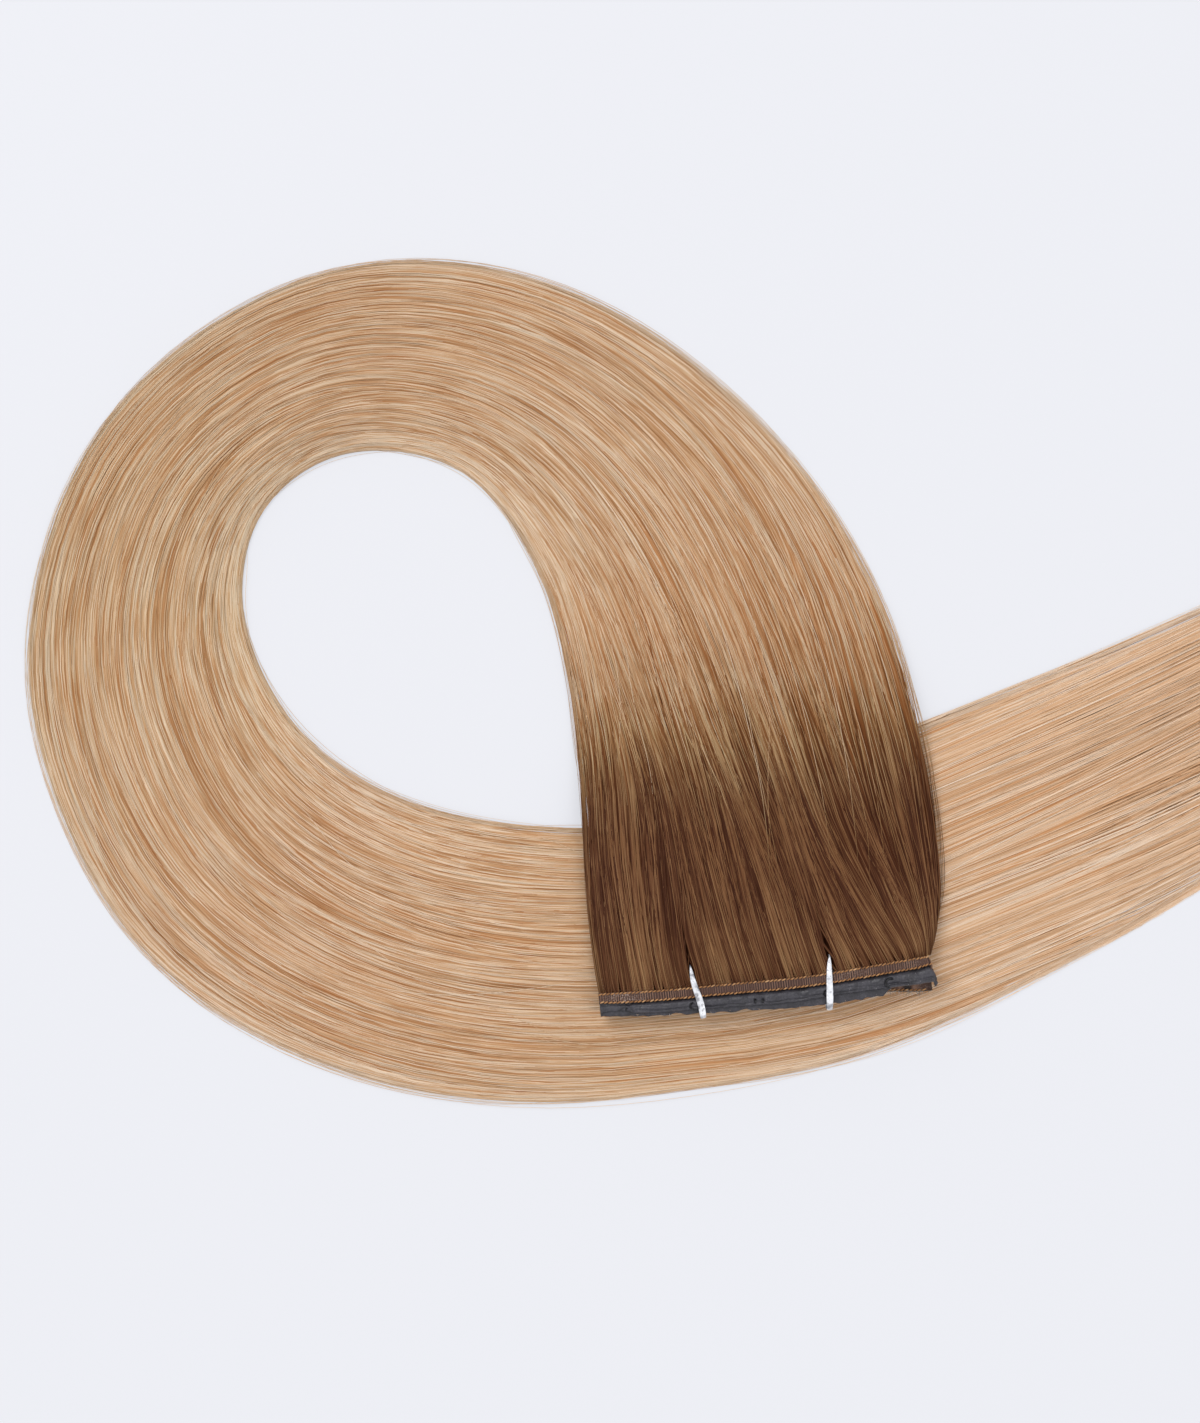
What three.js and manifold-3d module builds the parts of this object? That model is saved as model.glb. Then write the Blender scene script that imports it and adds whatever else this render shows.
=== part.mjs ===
// Hair weft bundle, lying on a table.
// A long hair weft (hair sewn along the edge of a soft dark backing strip) is folded to and fro into a
// short flat stack and held by two foil ties. The hair leaves the stack as one flat hank, lies in a
// single open loop, passes under its own root end and runs out to its tips.
// Millimetres, +Z up. The table is at z = 0. The origin is under the middle of the bundle.
import * as THREE from "three";
import { mergeVertices } from "three/addons/utils/BufferGeometryUtils.js";
import Module from "manifold-3d";

// ---------------------------------------------------------------- driving sizes
const GAP = 0.25; // clearance between neighbouring pieces
const ROOT_GAP = 0.35; // hair to seam band
const LAYER_PITCH = 1.05; // height from one folded layer to the next
const BAND_THICKNESS = 0.7; // seam band and backing strip
const SEAM_WIDTH = 2.1; // sewn hair ends between the two rows of stitches
const STACK_BASE = 6.5; // underside of the folded stack, clear of the hair under it
const HOLE_DIAMETER = 1.5; // fastening holes in the backing strip
const HOLE_PLACE = 0.56; // hole centre, as a share of the strip's width from its seam side
const HOLES_AT = [6.0, 19.4, 33.1, 47.3, 60.4]; // along the weft
const TIE_WIDTH = 1.4;
const TIE_THICKNESS = 0.5;
const TIE_CLEARANCE = 0.35; // tie to stack, above and below

const EDGE_HEIGHT = 0.4; // height of the hank's thin side edges
const DOME_POWER = 2.2; // roundness of the hank's section
const DOME_ROUND = 0.85;
const SLAB_POWER = 14; // section where the hank leaves the flat stack
const LOCK_COUNT = 8; // shallow locks across the hank
const LOCK_DEPTH = 0.28;
const STATIONS_PER_ROW = 3;
const TOP_POINTS = 29;
const BOTTOM_POINTS = 11;

// ---------------------------------------------------------------- the hank, one row per section
// inner / outer: the two edges of the hank in plan, the inner edge bounding the loop's open middle.
// base: height of the underside at those edges. thick: height at the middle. flat: 1 slab, 0 dome.
const HANK = [
  { part: "root", ix: -39.4, iy: -64.5, ox: 29.9, oy: -56.5, baseI: 6.5, baseO: 6.5, thick: 4.9, flat: 1 },
  { part: "root", ix: -41.9, iy: -45.5, ox: 32.1, oy: -42.4, baseI: 5.9, baseO: 6.0, thick: 5.0, flat: 0.7 },
  { part: "over", ix: -43.1, iy: -26.8, ox: 30.6, oy: -22.6, baseI: 2.5, baseO: 5.1, thick: 5.1, flat: 0.35 },
  { part: "over", ix: -44.8, iy: -9.1, ox: 26.7, oy: -3.9, baseI: 0.1, baseO: 2.2, thick: 5.3, flat: 0.1 },
  { part: "down", ix: -47.9, iy: 8.6, ox: 19.8, oy: 17.0, baseI: 0, baseO: 0.2, thick: 5.6, flat: 0 },
  { part: "loop", ix: -53.5, iy: 25.3, ox: 5.8, oy: 40.9, baseI: 0, baseO: 0, thick: 6.0, flat: 0 },
  { part: "loop", ix: -62.7, iy: 39.5, ox: -14.0, oy: 61.8, baseI: 0, baseO: 0, thick: 6.4, flat: 0 },
  { part: "loop", ix: -73.3, iy: 46.4, ox: -40.0, oy: 79.0, baseI: 0, baseO: 0, thick: 6.8, flat: 0 },
  { part: "loop", ix: -85.8, iy: 48.4, ox: -70.2, oy: 87.4, baseI: 0, baseO: 0, thick: 7.0, flat: 0 },
  { part: "loop", ix: -98.3, iy: 45.5, ox: -100.8, oy: 84.1, baseI: 0, baseO: 0, thick: 7.1, flat: 0 },
  { part: "loop", ix: -108.7, iy: 36.8, ox: -129.6, oy: 67.4, baseI: 0, baseO: 0, thick: 7.1, flat: 0 },
  { part: "loop", ix: -113.3, iy: 25.3, ox: -149.4, oy: 42.0, baseI: 0, baseO: 0, thick: 7.0, flat: 0 },
  { part: "loop", ix: -113.1, iy: 11.8, ox: -157.9, oy: 10.7, baseI: 0, baseO: 0, thick: 6.9, flat: 0 },
  { part: "loop", ix: -107.3, iy: -2.4, ox: -154.6, oy: -18.4, baseI: 0, baseO: 0, thick: 6.7, flat: 0 },
  { part: "loop", ix: -97.7, iy: -13.9, ox: -140.0, oy: -48.8, baseI: 0, baseO: 0, thick: 6.4, flat: 0 },
  { part: "loop", ix: -84.8, iy: -22.4, ox: -116.0, oy: -70.5, baseI: 0, baseO: 0, thick: 6.1, flat: 0 },
  { part: "loop", ix: -69.2, iy: -27.8, ox: -84.8, oy: -83.6, baseI: 0, baseO: 0, thick: 5.8, flat: 0 },
  { part: "under", ix: -51.5, iy: -30.3, ox: -51.5, oy: -87.8, baseI: 0, baseO: 0, thick: 5.5, flat: 0 },
  { part: "under", ix: -33.7, iy: -30.1, ox: -20.2, oy: -85.1, baseI: 0, baseO: 0, thick: 5.3, flat: 0 },
  { part: "under", ix: -15.0, iy: -25.7, ox: 6.9, oy: -80.1, baseI: 0, baseO: 0, thick: 5.2, flat: 0 },
  { part: "under", ix: 6.9, iy: -17.2, ox: 30.2, oy: -72.2, baseI: 0, baseO: 0, thick: 5.2, flat: 0 },
  { part: "tail", ix: 29.8, iy: -7.8, ox: 53.7, oy: -60.5, baseI: 0, baseO: 0, thick: 5.1, flat: 0 },
  { part: "tail", ix: 52.7, iy: 1.1, ox: 75.6, oy: -48.4, baseI: 0, baseO: 0, thick: 4.8, flat: 0 },
  { part: "tail", ix: 75.6, iy: 10.7, ox: 96.9, oy: -34.3, baseI: 0, baseO: 0, thick: 4.3, flat: 0 },
  { part: "tips", ix: 98.5, iy: 21.1, ox: 117.3, oy: -19.7, baseI: 0, baseO: 0, thick: 3.5, flat: 0 },
  { part: "tips", ix: 121.4, iy: 31.8, ox: 136.0, oy: -3.9, baseI: 0, baseO: 0, thick: 2.5, flat: 0 },
  { part: "tips", ix: 145.9, iy: 43.1, ox: 158.2, oy: 18.2, baseI: 0, baseO: 0, thick: 1.3, flat: 0 },
];

// How far the weft's line sags from a straight one, at even steps along it from left to right.
const WEFT_SAG = [0.0, 0.75, 1.05, 1.35, 0.8, 0.0];

// The folded layers from the top one down: how far each slips out from under the top one at its left end,
// middle and right end, and the width of its backing strip.
const LAYERS = [
  { slipLeft: 0.0, slipMid: 0.0, slipRight: 0.0, stripLeft: 2.1, stripRight: 3.0 },
  { slipLeft: 0.0, slipMid: 1.1, slipRight: 1.4, stripLeft: 2.1, stripRight: 2.8 },
  { slipLeft: 0.0, slipMid: 0.5, slipRight: 0.6, stripLeft: 2.4, stripRight: 2.6 },
  { slipLeft: 0.1, slipMid: 0.8, slipRight: 0.3, stripLeft: 2.3, stripRight: 2.6 },
  { slipLeft: 0.0, slipMid: 0.6, slipRight: 5.6, stripLeft: 2.3, stripRight: 0.9 },
];

// The ties: where each goes down through the hair, and where it turns under the strip.
const TIES = [
  { name: "tie_left", hairX: -20.25, hairY: -59.05, stripX: -17.45, stripY: -69.6 },
  { name: "tie_right", hairX: 8.5, hairY: -56.8, stripX: 8.7, stripY: -67.9 },
];

// ---------------------------------------------------------------- helpers
const wasm = await Module();
wasm.setup();

function toSolid(geometry) {
  const bare = geometry.clone();
  for (const name of Object.keys(bare.attributes)) if (name !== "position") bare.deleteAttribute(name);
  const merged = mergeVertices(bare, 1e-4);
  return new wasm.Manifold(
    new wasm.Mesh({
      numProp: 3,
      vertProperties: new Float32Array(merged.attributes.position.array),
      triVerts: new Uint32Array(merged.index.array),
    }),
  );
}

function toGeometry(solid) {
  const mesh = solid.getMesh();
  const g = new THREE.BufferGeometry();
  g.setAttribute("position", new THREE.BufferAttribute(new Float32Array(mesh.vertProperties), 3));
  g.setIndex(new THREE.BufferAttribute(new Uint32Array(mesh.triVerts), 1));
  g.computeVertexNormals();
  return g;
}

// A natural cubic spline through evenly numbered values.
function spline(values) {
  const n = values.length;
  const m = new Array(n).fill(0), c = new Array(n).fill(0), d = new Array(n).fill(0);
  for (let i = 1; i < n - 1; i++) {
    const rhs = 6 * (values[i + 1] - 2 * values[i] + values[i - 1]);
    const w = 4 - c[i - 1];
    c[i] = 1 / w;
    d[i] = (rhs - d[i - 1]) / w;
  }
  for (let i = n - 2; i > 0; i--) m[i] = d[i] - c[i] * m[i + 1];
  return (t) => {
    const i = Math.min(n - 2, Math.max(0, Math.floor(t)));
    const b = t - i, a = 1 - b;
    return a * values[i] + b * values[i + 1] + ((a * a * a - a) * m[i] + (b * b * b - b) * m[i + 1]) / 6;
  };
}

const smooth = (x) => { const t = Math.min(1, Math.max(0, x)); return t * t * (3 - 2 * t); };
const mix = (a, b, t) => a + (b - a) * t;

const sagSpline = spline(WEFT_SAG);
const sagAt = (f) => sagSpline(Math.min(1, Math.max(0, f)) * (WEFT_SAG.length - 1));

// Joins rings of equal length into one closed solid and caps the first and last. A ring runs along its
// lower side first, "split" points long, and back along its upper side.
function loft(rings, split) {
  const n = rings[0].length, position = [], index = [];
  for (const ring of rings) for (const p of ring) position.push(p.x, p.y, p.z);
  for (let k = 0; k < rings.length - 1; k++)
    for (let j = 0; j < n; j++) {
      const a = k * n + j, b = k * n + ((j + 1) % n), c = a + n, d = b + n;
      index.push(a, b, d, a, d, c);
    }
  const lower = split - 1, upper = n - split - 1; // spans in each side
  const cap = (at, flip) => {
    const low = (i) => at + split - 1 - i, high = (j) => at + split + j;
    for (let i = 0, j = 0; i < lower || j < upper; ) {
      const stepLow = j === upper || (i < lower && (i + 1) / lower <= (j + 1) / upper);
      const tri = stepLow ? [low(i), low(i + 1), high(j)] : [low(i), high(j + 1), high(j)];
      index.push(...(flip ? tri.reverse() : tri));
      if (stepLow) i++;
      else j++;
    }
  };
  cap(0, false);
  cap((rings.length - 1) * n, true);
  const build = () => {
    const g = new THREE.BufferGeometry();
    g.setAttribute("position", new THREE.Float32BufferAttribute(position, 3));
    g.setIndex(index);
    return toSolid(g);
  };
  const solid = build();
  if (solid.volume() > 0) return solid;
  for (let i = 0; i < index.length; i += 3) [index[i + 1], index[i + 2]] = [index[i + 2], index[i + 1]];
  return build();
}

// ---------------------------------------------------------------- the hank of hair
const track = Object.fromEntries(
  ["ix", "iy", "ox", "oy", "baseI", "baseO", "thick", "flat"].map((k) => [k, spline(HANK.map((r) => r[k]))]),
);

function hankTop(u, t) {
  const thick = track.thick(t);
  const dome = Math.pow(Math.max(0, 1 - Math.pow(Math.abs(u), DOME_POWER)), DOME_ROUND);
  const slab = Math.pow(Math.max(0, 1 - Math.pow(Math.abs(u), SLAB_POWER)), 0.5);
  const flat = Math.min(1, Math.max(0, track.flat(t)));
  const crown = mix(dome, slab, flat);
  const locks = Math.cos(Math.PI * LOCK_COUNT * (u + 1) + 0.35 * Math.sin(0.9 * t)) - 1;
  const fade = smooth((1 - Math.abs(u)) / 0.15) * smooth(t / 1.5) * Math.min(1, thick / 5);
  return EDGE_HEIGHT + (thick - EDGE_HEIGHT) * crown + 0.5 * LOCK_DEPTH * locks * fade;
}

function hankPoint(u, t, up) {
  const f = (u + 1) / 2;
  const x = mix(track.ix(t), track.ox(t), f);
  const y = mix(track.iy(t), track.oy(t), f) - sagAt(f) * (1 - smooth(t / 1.2));
  const base = mix(Math.max(0, track.baseI(t)), Math.max(0, track.baseO(t)), f);
  return new THREE.Vector3(x, y, base + up);
}

function hankRing(t) {
  const ring = [];
  for (let j = 0; j < BOTTOM_POINTS; j++) ring.push(hankPoint(1 - (2 * j) / (BOTTOM_POINTS - 1), t, 0));
  for (let j = 0; j < TOP_POINTS; j++) {
    const u = -Math.cos((Math.PI * (j + 1.2)) / (TOP_POINTS + 1.4)) / Math.cos((Math.PI * 1.2) / (TOP_POINTS + 1.4));
    const v = mix(u, -1 + (2 * j) / (TOP_POINTS - 1), 0.6);
    ring.push(hankPoint(v, t, hankTop(v, t)));
  }
  return ring;
}

const hankRings = [];
const lastRow = HANK.length - 1;
for (let k = 0; k <= lastRow * STATIONS_PER_ROW; k++) hankRings.push(hankRing(k / STATIONS_PER_ROW));
let hank = loft(hankRings, BOTTOM_POINTS);

// Where a tie goes down through the hair, the locks part in a narrow gap that closes further up.
for (const tie of TIES) {
  const down = new THREE.Vector2(tie.stripX - tie.hairX, tie.stripY - tie.hairY).normalize();
  const half = TIE_WIDTH / 2 + 0.4;
  const gap = new THREE.Shape([
    new THREE.Vector2(-half, -0.9),
    new THREE.Vector2(half, -0.9),
    new THREE.Vector2(half, 0.8),
    new THREE.Vector2(0.3, 6.0),
    new THREE.Vector2(-0.3, 6.0),
    new THREE.Vector2(-half, 0.8),
  ]);
  const cutter = new THREE.ExtrudeGeometry(gap, { depth: 30, bevelEnabled: false, steps: 1 });
  cutter.applyMatrix4(
    new THREE.Matrix4()
      .makeRotationZ(Math.atan2(down.x, -down.y))
      .setPosition(tie.hairX, tie.hairY, STACK_BASE - 1.2),
  );
  hank = hank.subtract(toSolid(cutter));
}

// ---------------------------------------------------------------- the folded weft
const weftStart = new THREE.Vector2(HANK[0].ix, HANK[0].iy);
const weftEnd = new THREE.Vector2(HANK[0].ox, HANK[0].oy);
const along = weftEnd.clone().sub(weftStart).normalize();
const down = new THREE.Vector2(along.y, -along.x); // away from the hair
const foldAt = weftEnd.distanceTo(weftStart);

// A point of the weft: f share of its length, d distance from the hair, z height.
function weftPoint(f, d, z) {
  const a = f * foldAt;
  return new THREE.Vector3(
    weftStart.x + along.x * a + down.x * d,
    weftStart.y + along.y * a + down.y * d - sagAt(Math.min(1, Math.max(0, f))),
    z,
  );
}

function slipOf(layer, f) {
  const slip =
    layer.slipLeft * (1 - f) * (1 - 2 * f) + layer.slipMid * 4 * f * (1 - f) + layer.slipRight * f * (2 * f - 1);
  return Math.max(0, slip);
}

// The weft's run from the top layer's free end, to and fro, to the bottom layer's free end.
// Each stop: share of the weft's length, height of the middle of the band, its upward normal, slip and strip width.
const RUN_STOPS = 16;
const FOLD_STOPS = 8;
function weftRun() {
  const stops = [];
  const top = STACK_BASE + LAYER_PITCH * (LAYERS.length - 1) + BAND_THICKNESS / 2;
  const inset = (LAYER_PITCH / 2 + BAND_THICKNESS / 2) / foldAt;
  LAYERS.forEach((layer, k) => {
    const z = top - k * LAYER_PITCH;
    const rightward = k % 2 === 0;
    for (let j = 0; j <= RUN_STOPS; j++) {
      const g = j / RUN_STOPS;
      const first = k === 0 ? 0.002 : inset, last = k === LAYERS.length - 1 ? 0.985 : 1 - inset;
      const f = rightward ? mix(first, last, g) : mix(1 - inset, inset, g);
      stops.push({ f, z, nx: 0, nz: rightward ? 1 : -1, slip: slipOf(layer, f), strip: mix(layer.stripLeft, layer.stripRight, f) });
    }
    const next = LAYERS[k + 1];
    if (!next) return;
    const end = rightward ? 1 - inset : inset;
    for (let j = 1; j < FOLD_STOPS; j++) {
      const g = j / FOLD_STOPS, angle = Math.PI * g, sign = rightward ? 1 : -1;
      const a = Math.sin(angle), c = Math.cos(angle);
      stops.push({
        f: end + (sign * a * LAYER_PITCH) / 2 / foldAt,
        z: z - LAYER_PITCH / 2 + (c * LAYER_PITCH) / 2,
        nx: a,
        nz: sign * c,
        slip: mix(slipOf(layer, end), slipOf(next, end), g),
        strip: mix(mix(layer.stripLeft, layer.stripRight, end), mix(next.stripLeft, next.stripRight, end), g),
      });
    }
  });
  return stops;
}

// A band of the folded weft between two distances from the hair.
function foldedBand(from, to) {
  const rings = weftRun().map((s) => {
    const offset = (h) => [s.f + (s.nx * h) / foldAt, s.z + s.nz * h];
    const half = BAND_THICKNESS / 2;
    const [fo, zo] = offset(half), [fi, zi] = offset(-half);
    const d0 = from(s) + s.slip, d1 = to(s) + s.slip;
    return [weftPoint(fo, d0, zo), weftPoint(fo, d1, zo), weftPoint(fi, d1, zi), weftPoint(fi, d0, zi)];
  });
  return loft(rings, 2);
}

const seam = foldedBand(() => ROOT_GAP, () => ROOT_GAP + SEAM_WIDTH);
const stripFrom = ROOT_GAP + SEAM_WIDTH + GAP;
let strip = foldedBand(() => stripFrom, (s) => stripFrom + s.strip);

// Fastening holes through the top layer of the strip.
const topLayer = STACK_BASE + LAYER_PITCH * (LAYERS.length - 1) + BAND_THICKNESS / 2;
for (const at of HOLES_AT) {
  const width = mix(LAYERS[0].stripLeft, LAYERS[0].stripRight, at / foldAt);
  const p = weftPoint(at / foldAt, stripFrom + HOLE_PLACE * width, topLayer);
  const drill = new THREE.CylinderGeometry(HOLE_DIAMETER / 2, HOLE_DIAMETER / 2, BAND_THICKNESS + 0.3, 14);
  drill.rotateX(Math.PI / 2).translate(p.x, p.y, p.z);
  strip = strip.subtract(toSolid(drill));
}

// ---------------------------------------------------------------- the ties
function tieRing(tie) {
  const run = new THREE.Vector2(tie.stripX - tie.hairX, tie.stripY - tie.hairY);
  const length = run.length();
  const low = STACK_BASE - TIE_CLEARANCE - TIE_THICKNESS;
  const high = STACK_BASE + LAYER_PITCH * (LAYERS.length - 1) + BAND_THICKNESS + TIE_CLEARANCE + TIE_THICKNESS;
  const rounded = (path, x0, x1, y0, y1, r) => {
    path.moveTo(x0 + r, y0);
    path.lineTo(x1 - r, y0);
    path.absarc(x1 - r, y0 + r, r, -Math.PI / 2, 0, false);
    path.lineTo(x1, y1 - r);
    path.absarc(x1 - r, y1 - r, r, 0, Math.PI / 2, false);
    path.lineTo(x0 + r, y1);
    path.absarc(x0 + r, y1 - r, r, Math.PI / 2, Math.PI, false);
    path.lineTo(x0, y0 + r);
    path.absarc(x0 + r, y0 + r, r, Math.PI, 1.5 * Math.PI, false);
    return path;
  };
  const t = TIE_THICKNESS;
  const shape = rounded(new THREE.Shape(), -t / 2, length + t / 2, low, high, 0.9);
  shape.holes.push(rounded(new THREE.Path(), t / 2, length - t / 2, low + t, high - t, 0.4));
  const g = new THREE.ExtrudeGeometry(shape, { depth: TIE_WIDTH, bevelEnabled: false, steps: 1, curveSegments: 5 });
  g.translate(0, 0, -TIE_WIDTH / 2);
  const d = run.clone().normalize();
  // shape x along the tie, shape y up, extrusion across the tie
  const m = new THREE.Matrix4().makeBasis(
    new THREE.Vector3(d.x, d.y, 0),
    new THREE.Vector3(0, 0, 1),
    new THREE.Vector3(d.y, -d.x, 0),
  );
  m.setPosition(tie.hairX, tie.hairY, 0);
  g.applyMatrix4(m);
  return toSolid(g);
}

// ---------------------------------------------------------------- the assembly
const hairMaterial = new THREE.MeshStandardMaterial({ color: 0xc49f7b, roughness: 0.45, metalness: 0 });
const seamMaterial = new THREE.MeshStandardMaterial({ color: 0x5f483e, roughness: 0.7, metalness: 0 });
const stripMaterial = new THREE.MeshStandardMaterial({ color: 0x4a464b, roughness: 0.5, metalness: 0 });
const tieMaterial = new THREE.MeshStandardMaterial({ color: 0xe2e2e6, roughness: 0.3, metalness: 0.6 });

function piece(name, solid, material) {
  const mesh = new THREE.Mesh(toGeometry(solid), material);
  mesh.name = name;
  return mesh;
}

const bundle = new THREE.Group();
bundle.add(piece("hair_hank", hank, hairMaterial));
const weft = new THREE.Group();
weft.add(piece("seam_band", seam, seamMaterial));
weft.add(piece("backing_strip", strip, stripMaterial));
for (const tie of TIES) weft.add(piece(tie.name, tieRing(tie), tieMaterial));
bundle.add(weft);

export default bundle;
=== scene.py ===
import math
import bpy
import numpy as np
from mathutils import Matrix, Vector


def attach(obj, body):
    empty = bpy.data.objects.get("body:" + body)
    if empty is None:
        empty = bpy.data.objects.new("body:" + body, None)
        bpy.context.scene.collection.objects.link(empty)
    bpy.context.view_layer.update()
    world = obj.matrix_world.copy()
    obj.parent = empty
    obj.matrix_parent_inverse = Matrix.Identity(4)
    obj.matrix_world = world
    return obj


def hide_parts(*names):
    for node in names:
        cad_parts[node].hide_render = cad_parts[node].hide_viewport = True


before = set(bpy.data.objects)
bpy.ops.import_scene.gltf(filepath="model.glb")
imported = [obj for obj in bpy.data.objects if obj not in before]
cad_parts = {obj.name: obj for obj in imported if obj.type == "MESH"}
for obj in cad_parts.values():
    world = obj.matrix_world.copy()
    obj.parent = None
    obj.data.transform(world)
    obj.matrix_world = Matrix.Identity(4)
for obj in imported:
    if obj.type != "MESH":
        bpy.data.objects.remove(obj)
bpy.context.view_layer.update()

MM = 0.001
rng = np.random.default_rng(20571)

# ------------------------------------------------------------------ sizes, in millimetres
LAYER_PITCH, BAND_T = 1.05, 0.7
STACK_BASE = 6.5
ROW_A, ROW_GAP = 0.30, 1.86  # first row of stitches below the hair's root line, and the way to the second
EDGE_H, DOME_POWER, DOME_ROUND, SLAB_POWER = 0.18, 2.2, 0.88, 14

# The hank, one row per section: inner edge, outer edge, underside at both, thickness, flatness.
HANK = np.array([
    # ix      iy     ox      oy     bI   bO   thick flat
    (-39.4, -64.5, 29.9, -56.5, 6.5, 6.5, 4.9, 1.0),
    (-41.9, -45.5, 32.1, -42.4, 5.9, 6.0, 5.0, 0.7),
    (-43.1, -26.8, 30.6, -22.6, 2.5, 5.1, 5.1, 0.35),
    (-44.8, -9.1, 26.7, -3.9, 0.1, 2.2, 5.3, 0.1),
    (-47.9, 8.6, 19.8, 17.0, 0, 0.2, 5.6, 0),
    (-53.5, 25.3, 5.8, 40.9, 0, 0, 6.0, 0),
    (-62.7, 39.5, -14.0, 61.8, 0, 0, 6.4, 0),
    (-73.3, 46.4, -40.0, 79.0, 0, 0, 6.8, 0),
    (-85.8, 48.4, -70.2, 87.4, 0, 0, 7.0, 0),
    (-98.3, 45.5, -100.8, 84.1, 0, 0, 7.1, 0),
    (-108.7, 36.8, -129.6, 67.4, 0, 0, 7.1, 0),
    (-113.3, 25.3, -149.4, 42.0, 0, 0, 7.0, 0),
    (-113.1, 11.8, -157.9, 10.7, 0, 0, 6.9, 0),
    (-107.3, -2.4, -154.6, -18.4, 0, 0, 6.7, 0),
    (-97.7, -13.9, -140.0, -48.8, 0, 0, 6.4, 0),
    (-84.8, -22.4, -116.0, -70.5, 0, 0, 6.1, 0),
    (-69.2, -27.8, -84.8, -83.6, 0, 0, 5.8, 0),
    (-51.5, -30.3, -51.5, -87.8, 0, 0, 5.5, 0),
    (-33.7, -30.1, -20.2, -85.1, 0, 0, 5.3, 0),
    (-15.0, -25.7, 6.9, -80.1, 0, 0, 5.2, 0),
    (6.9, -17.2, 30.2, -72.2, 0, 0, 5.2, 0),
    (29.8, -7.8, 53.7, -60.5, 0, 0, 5.1, 0),
    (52.7, 1.1, 75.6, -48.4, 0, 0, 4.8, 0),
    (75.6, 10.7, 96.9, -34.3, 0, 0, 4.3, 0),
    (98.5, 21.1, 117.3, -19.7, 0, 0, 3.5, 0),
    (121.4, 31.8, 136.0, -3.9, 0, 0, 2.5, 0),
    (145.9, 43.1, 158.2, 18.2, 0, 0, 1.3, 0),
])
LAST = len(HANK) - 1
WEFT_SAG = (0.0, 0.75, 1.05, 1.35, 0.8, 0.0)
# The folded layers from the top down: slip at the left, middle and right, strip width at the left and right.
LAYERS = (
    (0.0, 0.0, 0.0, 2.1, 3.0),
    (0.0, 1.1, 1.4, 2.1, 2.8),
    (0.0, 0.5, 0.6, 2.4, 2.6),
    (0.1, 0.8, 0.3, 2.3, 2.6),
    (0.0, 0.6, 5.6, 2.3, 0.9),
)
# Lean of the hairs against the hank's own run, in degrees towards the inner edge: station, then the lean at each
# share of the way across.
LEAN_AT = (0.05, 0.20, 0.40, 0.60, 0.75, 0.85, 0.95)
LEAN = np.array([
    (0.0, 5, 12, 20, 23, 30, 36, 22),
    (0.6, 3, 8, 16, 20, 30, 34, 13),
    (1.2, 3, 6, 12, 18, 25, 19, 2),
    (1.8, 1, 5, 14, 13, 14, 6, -1),
    (2.4, 2, 9.5, 14, 9.5, 7, 1, 1),
    (3.0, 4, 11, 9.5, 7, 3, -1, 1),
    (4.0, 2, 5.3, 5, 2.7, 0, -3, -2),
    (5.0, 3.5, 2.5, 0.7, -2.5, -2.6, -3, -2),
    (6.5, 0, -1, -1, -1.3, -1.3, -1, 0),
    (9.0, -1, -2, -2.5, -1.5, -1.2, -1, -0.5),
    (12.0, -1.5, -4, -3, -2, -1, -0.6, -0.3),
    (16.0, 0, -1.5, -2.5, -2, -1.5, -1, -0.5),
    (19.0, 0, 0, -1, -2, -3, -3, -2),
    (21.5, 0, 0, 0, -3.7, -5, -5.6, -5.5),
    (23.0, -0.5, -1, -1.5, -5.5, -6.5, -7.4, -6),
    (26.0, -0.5, -1, -1.5, -5.5, -6.5, -7.4, -6),
])
# The ties: where each goes down through the hair, where it turns under the strip, and the lean of the parting above.
TIES = {
    "tie_left": ((-20.25, -59.05), (-17.55, -69.6), 0.21),
    "tie_right": ((8.5, -56.8), (8.55, -67.9), 0.26),
}


# ------------------------------------------------------------------ curves
def spline(values):
    v = np.asarray(values, float)
    n = len(v)
    a = np.zeros((n, n))
    b = np.zeros(n)
    a[0, 0] = a[-1, -1] = 1
    for i in range(1, n - 1):
        a[i, i - 1:i + 2] = (1, 4, 1)
        b[i] = 6 * (v[i + 1] - 2 * v[i] + v[i - 1])
    m = np.linalg.solve(a, b)

    def f(t):
        t = np.asarray(t, float)
        i = np.clip(np.floor(t).astype(int), 0, n - 2)
        g = t - i
        h = 1 - g
        return h * v[i] + g * v[i + 1] + ((h ** 3 - h) * m[i] + (g ** 3 - g) * m[i + 1]) / 6

    return f


def smooth(x):
    x = np.clip(x, 0, 1)
    return x * x * (3 - 2 * x)


def mix(a, b, t):
    return a + (b - a) * t


IX, IY, OX, OY, BI, BO, THICK, FLAT = (spline(HANK[:, k]) for k in range(8))
_sag = spline(WEFT_SAG)


def sag_at(f):
    return _sag(np.clip(f, 0, 1) * (len(WEFT_SAG) - 1))


def crown(u, t):
    u = np.clip(np.abs(u), 0, 1)
    dome = (1 - u ** DOME_POWER) ** DOME_ROUND
    slab = (1 - u ** SLAB_POWER) ** 0.5
    flat = np.clip(FLAT(t), 0, 1)
    return EDGE_H + (THICK(t) - EDGE_H) * (dome + (slab - dome) * flat)


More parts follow.
